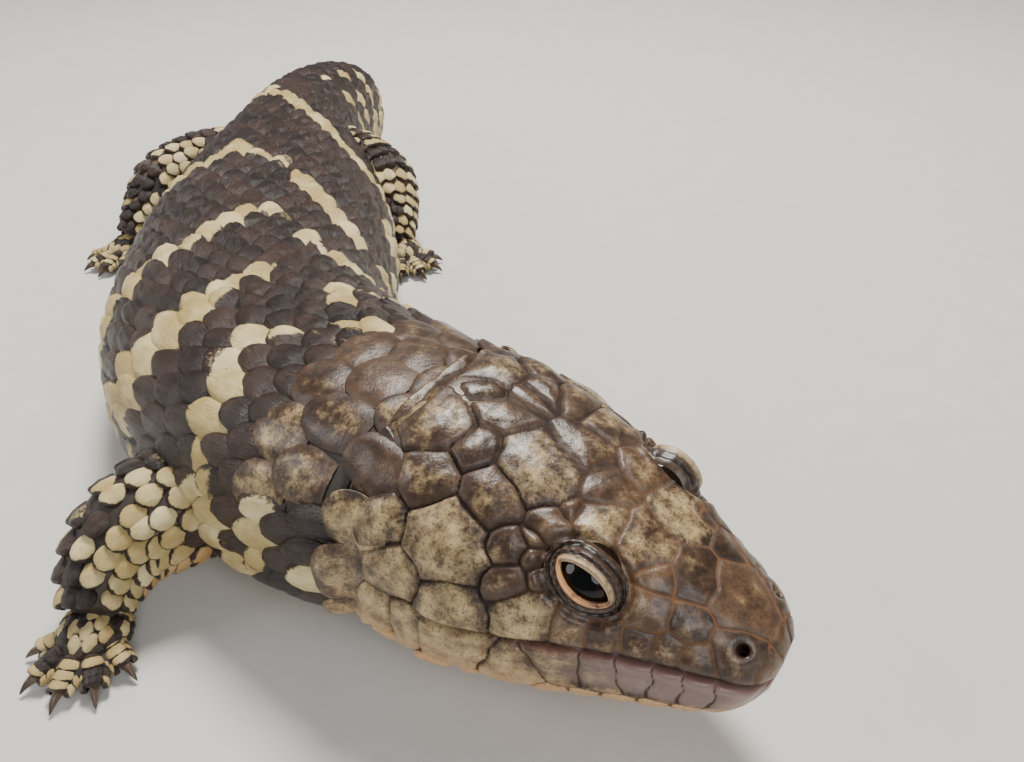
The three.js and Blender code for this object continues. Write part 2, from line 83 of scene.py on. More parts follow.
def curveThrough(stations, column):
    x = np.array([row[0] for row in stations], float)
    y = np.array([row[column] for row in stations], float)
    slope = np.diff(y) / np.diff(x)
    tangent = np.zeros_like(y)
    tangent[0], tangent[-1] = slope[0], slope[-1]
    for i in range(1, len(y) - 1):
        a, b = slope[i - 1], slope[i]
        tangent[i] = 0 if a * b <= 0 else 2 * a * b / (a + b)

    def at(place):
        q = np.clip(place, x[0], x[-1])
        i = np.clip(np.searchsorted(x, q, side="right") - 1, 0, len(x) - 2)
        span = x[i + 1] - x[i]
        t = (q - x[i]) / span
        near = (1 + 2 * t) * (1 - t) ** 2 * y[i] + t * (1 - t) ** 2 * span * tangent[i]
        return near + t * t * (3 - 2 * t) * y[i + 1] + t * t * (t - 1) * span * tangent[i + 1]

    return at


def gridFaces(rows, columns, loop=False):
    across = columns if loop else columns - 1
    i, j = np.meshgrid(np.arange(rows - 1), np.arange(across), indexing="ij")
    k = (j + 1) % columns
    quads = np.stack([i * columns + j, i * columns + k, (i + 1) * columns + k, (i + 1) * columns + j], -1)
    return quads.reshape(-1, 4)


def makeMesh(name, points, faces, values=None, uv=None):
    mesh = bpy.data.meshes.new(name)
    mesh.from_pydata((points * mm).tolist(), [], faces.tolist())
    mesh.polygons.foreach_set("use_smooth", np.ones(len(mesh.polygons), bool))
    for key, column in (values or {}).items():
        layer = mesh.attributes.new(key, "FLOAT", "POINT")
        layer.data.foreach_set("value", np.asarray(column, np.float32).ravel())
    if uv is not None:
        corner = np.zeros(len(mesh.loops), np.int32)
        mesh.loops.foreach_get("vertex_index", corner)
        layer = mesh.uv_layers.new(name="OFBake")
        layer.data.foreach_set("uv", uv[corner].astype(np.float32).ravel())
    mesh.update()
    piece = bpy.data.objects.new(name, mesh)
    bpy.context.scene.collection.objects.link(piece)
    return piece


# The body: lengths counted from the tip of the tail
body = {
    "tail": 83, "trunk": 160, "neck": 37, "middle": 160,
    "tailCurl": 21, "tailCurlEnd": 110,
    "neckBend": 42, "neckBendStart": 171, "neckBendLength": 89,
    "waist": 0.4, "roundTop": 0.87, "roundSide": 0.8, "roundUnder": 0.72, "lean": 0.02,
    # place, half width, top, underside
    "stations": [
        (0, 0.8, 15.6, 14.4), (0.8, 3.6, 20, 10.2), (2.5, 7.5, 25.5, 6), (5, 11, 30, 4),
        (15, 15.2, 36, 1), (32, 18.2, 40, -1), (58, 21, 42.5, -1.5),
        (85, 24, 43, -1.5), (120, 31.5, 42.8, -1.5), (160, 35.7, 42.5, -1.5), (200, 34, 43.5, -1.5),
        (228, 32.5, 45.5, -1.5), (252, 31, 47.5, -0.5), (268, 29.2, 48.9, 2.5), (284, 27, 50, 9),
    ],
}
bodyLength = body["tail"] + body["trunk"] + body["neck"]
bodyWidth, bodyTop, bodyUnder = (curveThrough(body["stations"], i) for i in (1, 2, 3))


def headingAt(s):
    tail = body["tailCurl"] * (1 - smooth(s / body["tailCurlEnd"]))
    neck = body["neckBend"] * smooth((s - body["neckBendStart"]) / body["neckBendLength"])
    return np.radians(-90 - tail + neck)


lineStep, lineOverrun = 0.5, 8
linePlaces = np.arange(0, bodyLength + lineOverrun, lineStep)
lineHeading = headingAt(linePlaces[1:] - lineStep / 2)
linePoints = np.zeros((len(linePlaces), 2))
linePoints[1:, 0] = np.cumsum(np.cos(lineHeading) * lineStep)
linePoints[1:, 1] = np.cumsum(np.sin(lineHeading) * lineStep)
linePoints -= linePoints[int(body["middle"] / lineStep)]


def lineAt(s):
    return np.interp(s, linePlaces, linePoints[:, 0]), np.interp(s, linePlaces, linePoints[:, 1])


def bodySection(s, a):
    w, top, under = bodyWidth(s), bodyTop(s), bodyUnder(s)
    middle = under + (top - under) * body["waist"]
    up = np.sin(a)
    side = w * power(np.cos(a), np.where(up > 0, body["roundTop"], body["roundSide"]))
    above = (top - middle) * np.abs(up) ** body["roundTop"]
    height = np.where(up > 0, above, (middle - under) * power(up, body["roundUnder"]))
    return side, middle + height


def bodyPoint(s, a, lift=0.0):
    s, a = np.broadcast_arrays(np.asarray(s, float), np.asarray(a, float))
    side, height = bodySection(s, a)
    sideA, heightA = bodySection(s, a - body["lean"])
    sideB, heightB = bodySection(s, a + body["lean"])
    alongX, alongZ = sideB - sideA, heightB - heightA
    size = np.hypot(alongX, alongZ) + 1e-9
    side = side + alongZ / size * lift
    height = height - alongX / size * lift
    heading = headingAt(s)
    x, y = lineAt(s)
    return np.stack([x - np.sin(heading) * side, y + np.cos(heading) * side, np.maximum(height, 0)], -1)


# The head, in its own frame: x forward from its back, y left, z up
head = {
    "length": 64.5, "yaw": 6.4, "pitch": -5, "roll": -2.3, "mouthHeight": 28.3,
    # place from the snout, half width, top, underside, height of the widest part
    "stations": [
        (0, 2.8, 5.8, -1.2, 2.6), (0.03, 6.8, 8.4, -4.5, 1.2), (0.08, 9.7, 10.2, -6.5, 0),
        (0.16, 12.4, 12.5, -8.5, -0.5), (0.3, 16.2, 16.2, -11, -1.5), (0.45, 20.2, 19.6, -13.5, -3),
        (0.6, 23.5, 21.9, -15.5, -4), (0.75, 25.8, 23.2, -17, -4.5), (0.88, 25.9, 23.4, -17.5, -4),
        (1, 24, 22.5, -17, -3),
    ],
    "mouthLine": [(0, 2.4), (0.12, 4.6), (0.25, 5.2), (0.4, 4.6), (0.6, 2.4), (0.72, 1.8)],
    "mouthCorner": 0.72, "roundTop": 0.82, "roundUnder": 0.72,
}
headWidth, headTop, headUnder, headWaist = (curveThrough(head["stations"], i) for i in (1, 2, 3, 4))
mouthAt = curveThrough(head["mouthLine"], 1)
headTurn = np.array(Euler((
    np.radians(-head["roll"]), np.radians(-head["pitch"]),
    headingAt(bodyLength) + np.radians(head["yaw"])), "XYZ").to_matrix())
headBack = np.array([*lineAt(bodyLength), head["mouthHeight"]])


def headPoint(u, a, lift=0.0):
    u, a = np.broadcast_arrays(np.asarray(u, float), np.asarray(a, float))
    w, top, under, waist = headWidth(u), headTop(u), headUnder(u), headWaist(u)
    up = np.sin(a)
    side = power(np.cos(a), np.where(up > 0, head["roundTop"], head["roundUnder"]))
    height = np.where(up > 0, np.abs(up) ** head["roundTop"], power(up, head["roundUnder"]))
    size = np.hypot(side, height)
    return np.stack([
        (1 - u) * head["length"],
        w * side + side / size * lift,
        waist + np.where(up > 0, top - waist, waist - under) * height + height / size * lift,
    ], -1)


def headToModel(points):
    return points @ headTurn.T + headBack


print("frame, camera and body lines ready")


# Places in the photograph, carried onto the model along the camera's own rays
def surfaceTree(surface, places, angles):
    points = surface(places[:, None], angles[None, :])
    faces = gridFaces(len(places), len(angles), loop=True)
    return BVHTree.FromPolygons(points.reshape(-1, 3).tolist(), faces.tolist())


def castPixel(tree, places, angles, pixel):
    ray = Vector((
        (pixel[0] - view["imageWidth"] / 2) / view["focalPixels"],
        (view["imageHeight"] / 2 - pixel[1]) / view["focalPixels"], -1))
    ray.rotate(camera.matrix_world.to_quaternion())
    ray.normalize()
    start = Vector(view["place"])
    index = tree.ray_cast(start, ray)[2]
    if index is None:  # just past the rim: the nearest place beside the ray
        near = [tree.find_nearest(start + ray * far) for far in range(100, 420, 4)]
        index = min(near, key=lambda hit: hit[3])[2]
    row, column = divmod(index, len(angles))
    return places[row], angles[column]


bodyPlaces = np.linspace(1, bodyLength + 2, 220)
bodyAngles = np.linspace(-np.pi, np.pi, 240, endpoint=False)
bodyTree = surfaceTree(bodyPoint, bodyPlaces, bodyAngles)
headPlaces = np.linspace(0.005, 1, 150)
headTree = surfaceTree(lambda u, a: headToModel(headPoint(u, a)), headPlaces, bodyAngles)


def fromCrown(angle):
    return (np.degrees(angle) - 90 + 180) % 360 - 180


# Pale bands over the back, each followed along the photograph from its near side to its far side
bands = {
    "rump": [(248, 95), (270, 93), (295, 103), (345, 150)],
    "hips": [(215, 160), (235, 148), (262, 155), (300, 185), (345, 230)],
    "loin": [(157, 263), (185, 246), (220, 222), (262, 207), (295, 225), (330, 258)],
    "shoulders": [(132, 373), (167, 334), (190, 325), (230, 285), (278, 267), (330, 290), (360, 316)],
    "nape": [(245, 355), (264, 338), (300, 330), (320, 320), (345, 332), (385, 355)],
}
bandLook = {"halfWidth": 2.9, "tailHalfWidth": 2.0, "farSlope": 0.45, "nearSlope": 0.15, "girth": 30}
tailBands = [38, 54, 22]


def bandLine(pixels):
    hits = [castPixel(bodyTree, bodyPlaces, bodyAngles, pixel) for pixel in pixels]
    turns = [-fromCrown(hit[1]) for hit in hits]
    order = np.argsort(turns)
    return np.array(turns)[order], np.array([hit[0] for hit in hits])[order]


bandLines = {name: bandLine(pixels) for name, pixels in bands.items()}
print("band lines", {name: np.round(line[1]).tolist() for name, line in bandLines.items()})


def waves(x, y, seed, scale):
    source = np.random.default_rng(seed)
    total = np.zeros(np.broadcast(x, y).shape)
    for _ in range(6):
        direction, phase = source.uniform(0, 2 * np.pi, 2)
        size = scale * source.uniform(0.7, 1.6)
        total += np.sin((x * np.cos(direction) + y * np.sin(direction)) / size * 2 * np.pi + phase)
    return total / 6


def paleness(s, a):
    turn = -fromCrown(a)  # degrees from the crown, below 0 on the animal's right
    girth = np.radians(turn) * bandLook["girth"]
    pale = np.zeros(np.broadcast(s, a).shape)
    for turns, places in bandLines.values():
        middle = np.interp(turn, turns, places)
        middle = middle + np.maximum(turn - turns[-1], 0) * bandLook["farSlope"]
        middle = middle + np.maximum(turns[0] - turn, 0) * bandLook["nearSlope"]
        reach = bandLook["halfWidth"] * (1 + 0.35 * waves(s, girth, 5, 26))
        gaps = 0.8 + 0.55 * waves(s * 2, girth, 15, 13) * smooth((np.abs(turn) - 12) / 20)
        pale = np.maximum(pale, smooth(1.55 - np.abs(s - middle) / reach) * np.clip(gaps + 0.25, 0, 1))
    for place in tailBands:
        middle = place + np.abs(turn) * 0.12
        gaps = smooth((turn - 8) / 14) + smooth((-turn - 20) / 14)
        pale = np.maximum(pale, smooth(1.5 - np.abs(s - middle) / bandLook["tailHalfWidth"]) * 0.85 * gaps)
    # low on the flanks the cream runs into blotches, and the belly is pale between dark streaks
    low = smooth((np.abs(turn) - 58) / 18)
    blotch = smooth(0.12 + 1.7 * waves(s, girth * 0.8, 8, 17))
    pale = np.maximum(pale, low * blotch * 0.95)
    belly = smooth((np.abs(turn) - 118) / 18)
    return np.clip(np.maximum(pale, belly * smooth(0.75 + 1.4 * waves(s, girth, 3, 26))), 0, 1)


# Scales: each one a raised plate, its free edge toward the tail or the toes
def scaleTemplate(rows, columns, rearPoint, frontWide, rise, dome, rim, tuck):
    u = np.concatenate([[-1], np.linspace(-1, 1, rows - 1)])
    v = np.concatenate([[-1], np.sin(np.linspace(-1, 1, columns - 2) * np.pi / 2), [1]])
    u, v = np.meshgrid(u, v, indexing="ij")
    bent = np.where(u < 0, rearPoint * u, frontWide * u)
    outline = (1 - np.abs(bent) ** 2.1) ** 0.52
    lift = -tuck + rise * (0.5 - 0.5 * u) ** 1.15 + dome * (1 - v * v) * (1 - 0.6 * np.abs(u))
    lift -= rim * smooth((np.abs(v) - 0.72) / 0.28) + rim * smooth((-u - 0.8) / 0.2)
    skirt = np.zeros(u.shape, bool)
    skirt[0] = skirt[:, 0] = skirt[:, -1] = True
    return {
        "u": u, "v": v, "across": v * outline, "lift": np.where(skirt, -0.7, lift), "skirt": skirt,
        "rows": rows, "columns": columns,
    }


def ridges(template, count, depth):
    v, u = template["v"][None], template["u"][None]
    phase = rng.uniform(0, 2 * np.pi, (4, count, 1, 1))
    rough = np.sin(7 * v + 1.4 * u + phase[0]) + 0.8 * np.sin(11 * v - 2 * u + phase[1])
    rough = rough + 1.1 * np.sin(6 * u + 3 * v + phase[2]) * np.sin(5 * v + phase[3])
    return np.where(template["skirt"][None], 0, rough * depth)


# One value for each scale, set beside the grid of its points
def each(column):
    return column[:, None, None]


def chartPatch(template, chart):
    patch = 0.003  # how wide each scale's patch of the chart is
    across = each(chart[:, 0]) + template["u"][None] * patch / 2
    up = each(chart[:, 1]) + template["v"][None] * patch / 2
    return np.stack([across, up], -1)


def scaleMesh(name, template, points, chart, cream, warm, tone, rimDark=0.3, more=None):
    count, rows, columns = len(points), template["rows"], template["columns"]
    faces = gridFaces(rows, columns)[:, ::-1]
    faces = (faces[None] + each(np.arange(count) * rows * columns)).reshape(-1, 4)
    spread = np.ones((count, rows, columns))
    edge = smooth((np.maximum(np.abs(template["v"]), -template["u"]) - 0.7) / 0.3)
    allRound = smooth((np.hypot(template["v"], template["u"]) - 0.72) / 0.4) * rimDark
    offset = rng.uniform(0, 40, (count, 1, 1))
    values = {
        "cream": (cream if cream.ndim == 3 else each(cream)) * spread,
        "warm": each(warm) * spread,
        "tone": each(tone) * spread,
        "edge": edge[None] * spread,
        "rimDark": allRound[None] * spread,
        "middle": (1 - np.hypot(template["v"], template["u"]).clip(0, 1))[None] * spread,
        "grainAlong": template["u"][None] * 0.5 + offset,
        "grainAcross": template["across"][None] + offset,
    }
    for key, value in (more or {}).items():
        values[key] = value * spread
    piece = makeMesh(name, points.reshape(-1, 3), faces, values, chartPatch(template, chart).reshape(-1, 2))
    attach(piece, "root")
    print(name, count, "scales,", len(faces) * 2, "triangles")
    return piece


# The head's plates. A name, its middle in the photograph, its radius in millimetres, how pale it is,
# and whether it has a twin on the other side of the head.
plates = [
    ("nasal", (738, 655), 4.3, 0.15, "twin"), ("frontTop", (744, 599), 6.0, 0.1, "one"),
    ("farSmall", (728, 542), 3.6, 0.15, "one"), ("prefrontal", (695, 575), 4.6, 0.15, "one"),
    ("loreal", (658, 577), 2.6, 0.1, "twin"), ("paleMiddle", (688, 516), 4.9, 0.75, "one"),
    ("farBrow", (678, 463), 4.0, 0.25, "one"), ("frontal", (645, 542), 4.2, 0.5, "one"),
    ("browPale", (600, 519), 3.4, 0.75, "one"), ("browRear", (605, 489), 3.6, 0.2, "one"),
    ("farFrontal", (648, 463), 4.2, 0.3, "one"), ("crown", (582, 446), 4.6, 0.25, "one"),
    ("crownRight", (532, 469), 6.6, 0.6, "one"), ("crownLeft", (612, 418), 6.0, 0.6, "one"),
    ("eyebrow", (544, 519), 2.9, 0.1, "twin"), ("chip", (567, 506), 1.6, 0.1, "one"),
    ("side", (487, 496), 5.4, 0.4, "twin"), ("rearSide", (472, 451), 3.8, 0.3, "twin"),
    ("rearLarge", (433, 420), 5.6, 0.4, "twin"), ("rearLow", (428, 479), 4.8, 0.4, "twin"),
    ("rearCrown", (499, 410), 4.6, 0.35, "one"), ("rearCrownFar", (522, 396), 3.5, 0.3, "one"),
    ("rearMiddle", (486, 390), 3.6, 0.3, "one"), ("napeSide", (366, 473), 4.9, 0.4, "twin"),
    ("napeLow", (376, 519), 4.9, 0.7, "twin"), ("temple", (443, 542), 7.0, 0.75, "twin"),
    ("overEar", (388, 569), 4.4, 0.75, "twin"), ("napeRim", (343, 549), 3.4, 0.6, "twin"),
    ("behindEyeHigh", (501, 547), 3.4, 0.25, "twin"), ("behindEyeLow", (501, 584), 3.6, 0.3, "twin"),
    ("lidRearHigh", (527, 536), 1.7, 0.1, "twin"), ("lidRearMiddle", (529, 559), 1.7, 0.1, "twin"),
    ("lidRearLow", (532, 578), 1.7, 0.15, "twin"), ("lipSix", (446, 609), 4.6, 0.8, "twin"),
    ("lipFive", (519, 615), 4.3, 0.75, "twin"), ("lipFour", (567, 632), 3.0, 0.4, "twin"),
    ("lipThree", (601, 638), 2.8, 0.3, "twin"), ("lipTwo", (635, 645), 2.8, 0.3, "twin"),
    ("lipOne", (663, 655), 2.5, 0.2, "twin"), ("lipFront", (694, 665), 2.9, 0.15, "twin"),
    ("cheekDark", (648, 612), 3.0, 0.1, "twin"), ("snoutSide", (690, 622), 3.0, 0.1, "twin"),
    ("jawSeven", (506, 672), 3.6, 0.75, "twin"), ("jawSix", (555, 668), 3.2, 0.5, "twin"),
    ("jawFive", (595, 675), 3.0, 0.4, "twin"), ("jawFour", (632, 678), 2.8, 0.3, "twin"),
    ("jawThree", (665, 685), 2.8, 0.3, "twin"), ("jawTwo", (695, 691), 2.8, 0.2, "twin"),
    ("jawOne", (728, 695), 2.9, 0.2, "twin"), ("cheek", (449, 648), 4.8, 0.95, "twin"),
    ("cheekRear", (406, 628), 3.4, 0.95, "twin"), ("cheekEdge", (376, 612), 2.8, 0.9, "twin"),
]
lowerPlates = {"jawSeven", "jawSix", "jawFive", "jawFour", "jawThree", "jawTwo", "jawOne", "cheek"}
headLook = {
    "groove": 0.55, "depth": 0.95, "frontDepth": 0.27, "dome": 0.6, "rearLift": 0.55,
    "mouthDepth": 1.5, "mouthWidth": 0.55, "lip": 0.35, "throatPitch": 5.2,
    "warp": 0.55, "socketDepth": 1.5, "holeDepth": 2.4, "rearShrink": 4.5, "clear": 0.2,
    "eye": (0.41, 14.0, 15.0), "eyeOut": (0.22, 0.77, 0.6), "eyeTilt": 14, "eyeRadius": 5.3, "eyeDepth": 4.0,
    "lid": (6.6, 4.9), "opening": (4.1, 1.8), "lidThick": 0.7,
    "nostril": (742, 651), "nostrilRadius": 0.9,
    "ear": (0.93, 25.5, -4.0), "earSize": (2.0, 4.0),
}


def plateSeeds():
    seeds = []
    for name, pixel, radius, pale, twin in plates:
        place, angle = castPixel(headTree, headPlaces, bodyAngles, pixel)
        seeds.append((place, angle, radius, pale, name in lowerPlates))
        if twin == "twin":
            seeds.append((place, np.pi - angle, radius, pale, name in lowerPlates))
    # small throat scales in rows, then the plates at the very tip and along the rear rim
    step = headLook["throatPitch"]
    for row, place in enumerate(np.arange(0.08, 1.0, step * 0.85 / head["length"])):
        wide = headWidth(place)
        for k in range(-5, 6):
            turn = (k + 0.5 * (row % 2)) * step / max(wide * 0.95, 5)
            if abs(turn) < 1.0:
                seeds.append((place, -np.pi / 2 + turn, 2.6, 0.85, True))
    for turn in (-27, 0, 27):
        seeds.append((0.015, np.radians(90 + turn * 1.6), 2.4, 0.1, False))
    seeds.append((0.02, np.radians(-90), 3.4, 0.3, True))
    for turn in (-36, -12, 12, 36):
        seeds.append((0.985, np.radians(90 + turn), 3.4, 0.35, False))
    return seeds


def mirrored(vector, side):
    return np.array([vector[0], vector[1] * side, vector[2]])


def eyeAxes(side):
    outward = mirrored(np.array(headLook["eyeOut"]), side)
    outward = outward / np.linalg.norm(outward)
    forward = np.array([1.0, 0, 0]) - outward * outward[0]
    forward = forward / np.linalg.norm(forward)
    upward = np.cross(outward, forward)
    if upward[2] < 0:
        upward = -upward
    tilt = np.radians(headLook["eyeTilt"])
    along = forward * np.cos(tilt) - upward * np.sin(tilt)
    across = upward * np.cos(tilt) + forward * np.sin(tilt)
    return outward, along, across


def eyeMiddle(side):
    place, wide, height = headLook["eye"]
    return np.array([(1 - place) * head["length"], wide * side, height])


def makeHead():
    rows = np.concatenate([[0.0], np.linspace(0.004, 1, 210)])
    angles = np.linspace(-np.pi, np.pi, 430, endpoint=False)
    u, a = np.meshgrid(rows, angles, indexing="ij")
    base = headPoint(u, a)
    seeds = plateSeeds()
    # a wandering warp keeps the seams from running dead straight
    warp = np.stack([waves(base[..., 0], base[..., 1] + base[..., 2], k + 20, 7) for k in range(3)], -1)
    sample = base + headLook["warp"] * warp
    mouthGap = base[..., 2] - mouthAt(u)
    beforeCorner = smooth((head["mouthCorner"] + 0.02 - u) / 0.04)
    upper = (mouthGap > 0) | (u > head["mouthCorner"])
    first = np.full(u.shape, 1e3)
    second = np.full(u.shape, 1e3)
    owner = np.zeros(u.shape, int)
    seedPoints = np.array([headPoint(seed[0], seed[1]) for seed in seeds])
    for k, (_, _, radius, _, low) in enumerate(seeds):
        far = np.linalg.norm(sample - seedPoints[k], axis=-1) - radius
        wrongSide = np.where(low, np.maximum(mouthGap, 0), np.maximum(-mouthGap, 0))
        far = far + wrongSide * (u < head["mouthCorner"]) * 6
        closer = far < first
        second = np.where(closer, first, np.minimum(second, far))
        owner = np.where(closer, k, owner)
        first = np.minimum(first, far)
    radii = np.array([seed[2] for seed in seeds])[owner]
    edge = (second - first) / 2
    groove = 1 - smooth(edge / (headLook["groove"] * (0.62 + 0.38 * smooth((u - 0.35) / 0.35))))
    rear = smooth((u - 0.35) / 0.35)
    lift = -(headLook["frontDepth"] + (headLook["depth"] - headLook["frontDepth"]) * rear) * groove
    lift += headLook["dome"] * (0.45 + 0.55 * rear) * smooth(edge / (radii * 0.75))
    along = (np.array([seed[0] for seed in seeds])[owner] - u) * head["length"] / radii
    lift += headLook["rearLift"] * smooth((u - 0.6) / 0.3) * np.clip(-along, -1, 1) * upper
    low = ~upper
    lift -= 0.25 * low
    lip = np.exp(-((np.abs(mouthGap) - 1.7) / 1.1) ** 2) * beforeCorner
    mouth = np.exp(-(mouthGap / headLook["mouthWidth"]) ** 2) * beforeCorner
    lift += headLook["lip"] * lip - headLook["mouthDepth"] * mouth
    groove = groove * (1 - mouth)
    wet = np.exp(-((mouthGap + 0.6) / 0.4) ** 2) * beforeCorner * smooth((0.62 - u) / 0.2)
    # fine pits and wrinkles
    lift += 0.07 * waves(base[..., 0], base[..., 1] + 0.7 * base[..., 2], 31, 2.2) * (1 - groove)
    socket = np.zeros(u.shape)
    hole = np.zeros(u.shape)
    nostril = headPoint(*castPixel(headTree, headPlaces, bodyAngles, headLook["nostril"]))
    for side in (-1, 1):
        outward, lengthwise, across = eyeAxes(side)
        local = base - eyeMiddle(side)
        x, y, z = local @ lengthwise, local @ across, local @ outward
        ring = np.hypot(x / headLook["lid"][0], y / headLook["lid"][1]) + 9 * (np.abs(z) > 9)
        inside = smooth((0.98 - ring) / 0.2)
        lift += 0.5 * np.exp(-((ring - 1.25) / 0.16) ** 2) - 0.45 * np.exp(-((ring - 1.02) / 0.07) ** 2)
        socket = np.maximum(socket, inside)
        pit = base - nostril * [1, -side, 1]
        pit = np.linalg.norm(pit, axis=-1) / headLook["nostrilRadius"]
        hole = np.maximum(hole, smooth((1.25 - pit) / 0.7))
        lift += 0.2 * np.exp(-((pit - 2.1) / 0.7) ** 2)
        place, wide, height = headLook["ear"]
        slit = base - np.array([(1 - place) * head["length"], wide * side, height])
        slit = np.hypot(slit[..., 0] / headLook["earSize"][0], slit[..., 2] / headLook["earSize"][1])
        slit = np.where(base[..., 1] * side > 0, slit, 9)
        hole = np.maximum(hole, smooth((1.2 - slit) / 0.5))
        lift += 0.35 * np.exp(-((slit - 1.6) / 0.4) ** 2)
    lift = lift * (1 - socket) - headLook["socketDepth"] * socket
    lift -= headLook["holeDepth"] * hole
    points = headPoint(u, a, lift)
    points[0] = points[0].mean(axis=0)
    points[-1] = headPoint(u[-1], a[-1], -headLook["rearShrink"])
    points = headToModel(points)
    points[..., 2] = np.maximum(points[..., 2], headLook["clear"])
    pale = np.array([seed[3] for seed in seeds])[owner]
    turn = np.abs(fromCrown(a))
    warm = smooth((turn - 84) / 22) * smooth((0.98 - u) / 0.1 + 0.6)
    values = {
        "cream": np.clip(pale, 0, 1),
        "groove": groove,
        "warm": warm,
        "lipPink": wet,
        "lipGrey": low * smooth((0.5 - u) / 0.25) * smooth((mouthGap + 8) / 2),
        # painted shade: darkens the nostrils, ear openings, eye sockets and mouth line
        "hollowShade": np.maximum(np.maximum(hole, socket), mouth),
        "rear": rear,
        "middle": np.clip(edge / radii, 0, 1),
        "tone": rng.uniform(-1, 1, len(seeds))[owner],
        "headAlong": base[..., 0],
        "lower": low.astype(float),
    }
    chart = np.stack([0.02 + 0.96 * u, 0.02 + 0.96 * (a + np.pi) / (2 * np.pi)], -1)
    faces = gridFaces(len(rows), len(angles), loop=True)
    piece = makeMesh("headShields", points.reshape(-1, 3), faces[:, ::-1], values, chart.reshape(-1, 2))
    print("head", len(seeds), "plates,", len(faces) * 2, "triangles")
    return piece


headShell = surfaceTree(lambda u, a: headPoint(u, a, 0.4), headPlaces, bodyAngles)
lidLook = {
    "rimStart": 0.82, "pinch": 1.35, "rayStart": 15, "noHit": 14, "over": 0.75, "sunk": 1.4,
    "folds": 3.4, "foldRise": 0.24, "beads": 21, "beadRise": 0.07,
    "ridge": 0.35, "ridgeAt": 0.68, "ridgeWidth": 0.08,
}


def makeLids(side, name):
    outward, lengthwise, across = eyeAxes(side)
    middle = eyeMiddle(side)
    turns = np.linspace(0, 2 * np.pi, 220, endpoint=False)
    steps = np.linspace(0, 1, 30)
    t, k = np.meshgrid(turns, steps, indexing="ij")
    pinch = power(np.sin(t), lidLook["pinch"])  # the opening comes to a point at both ends
    innerX, innerY = headLook["opening"][0] * np.cos(t), headLook["opening"][1] * pinch
    outerX, outerY = headLook["lid"][0] * np.cos(t), headLook["lid"][1] * np.sin(t)
    rimStart = lidLook["rimStart"]
    outerShare = 1 - np.minimum(k / rimStart, 1)
    x = innerX + (outerX - innerX) * outerShare
    y = innerY + (outerY - innerY) * outerShare
    flatX, flatY = x.ravel(), y.ravel()
    rayStart = lidLook["rayStart"]
    starts = middle + flatX[:, None] * lengthwise + flatY[:, None] * across + rayStart * outward
    hits = [headShell.ray_cast(Vector(start), Vector(-outward))[3] for start in starts]
    surface = rayStart - np.array([lidLook["noHit"] if far is None else far for far in hits]).reshape(x.shape)

    def domeOver(radius):
        return np.sqrt(np.maximum(radius ** 2 - x * x - y * y, 0.1)) - headLook["eyeDepth"]

    shell = domeOver(headLook["eyeRadius"] + headLook["lidThick"])
    ball = domeOver(headLook["eyeRadius"])
    climb = smooth(k / rimStart * 1.2)
    height = np.maximum((surface - 0.2) * (1 - climb) + shell * climb, ball + lidLook["over"])
    folds = np.sin(k * np.pi * 2 * lidLook["folds"]) * lidLook["foldRise"]
    folds = folds * smooth(k / 0.2) * smooth((rimStart - k) / 0.1)
    beads = np.cos(t * lidLook["beads"] + np.where(k > 0.42, np.pi, 0)) * lidLook["beadRise"]
    beads = beads * smooth((0.6 - k) / 0.1) * smooth(k / 0.1)
    ridge = lidLook["ridge"] * np.exp(-((k - lidLook["ridgeAt"]) / lidLook["ridgeWidth"]) ** 2)
    height = height + folds + beads + ridge
    inward = smooth((k - rimStart) / (1 - rimStart))
    height = height * (1 - inward) + (ball - 0.3) * inward
    outerEdge = smooth(k / 0.1)
    height = height * outerEdge + (np.minimum(surface, ball) - lidLook["sunk"]) * (1 - outerEdge)
    local = middle + x[..., None] * lengthwise + y[..., None] * across + height[..., None] * outward
    values = {
        "rim": smooth((k - 0.52) / 0.1),
        "lower": smooth(0.5 - np.sin(t) * 3),
        # painted shade in the creases between the lid's folds
        "foldShade": 0.5 - 0.5 * np.sin(k * np.pi * 2 * 3.2),
        "bead": 0.5 + 0.5 * np.cos(t * 26 + np.where(k > 0.42, np.pi, 0)),
    }
    chart = np.stack([0.02 + 0.96 * t / (2 * np.pi), 0.02 + 0.96 * k], -1).reshape(-1, 2)
    faces = gridFaces(len(steps), len(turns), loop=True)
    order = np.arange(len(turns) * len(steps)).reshape(len(turns), len(steps)).T.ravel()
    points = headToModel(local).reshape(-1, 3)
    values = {key: value.ravel()[order] for key, value in values.items()}
    piece = makeMesh(name, points[order], faces if side > 0 else faces[:, ::-1], values, chart[order])
    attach(piece, "root")
    return piece


def makeEye(side, name, node):
    outward, lengthwise, across = eyeAxes(side)
    middle = eyeMiddle(side) - outward * headLook["eyeDepth"]
    tilt, turns = np.linspace(0, np.pi, 40), np.linspace(0, 2 * np.pi, 64, endpoint=False)
    p, t = np.meshgrid(tilt, turns, indexing="ij")
    radius = headLook["eyeRadius"]
    local = (middle + radius * (np.cos(p)[..., None] * outward
             + (np.sin(p) * np.cos(t))[..., None] * lengthwise + (np.sin(p) * np.sin(t))[..., None] * across))
    values = {"fromMiddle": np.sin(p) * (np.cos(p) > 0) + (np.cos(p) <= 0)}
    faces = gridFaces(len(tilt), len(turns), loop=True)
    chart = np.stack([0.5 + 0.48 * p / np.pi * np.cos(t), 0.5 + 0.48 * p / np.pi * np.sin(t)], -1)
    piece = makeMesh(name, headToModel(local).reshape(-1, 3), faces, values, chart.reshape(-1, 2))
    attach(piece, "root")
    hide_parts(node)
    return piece


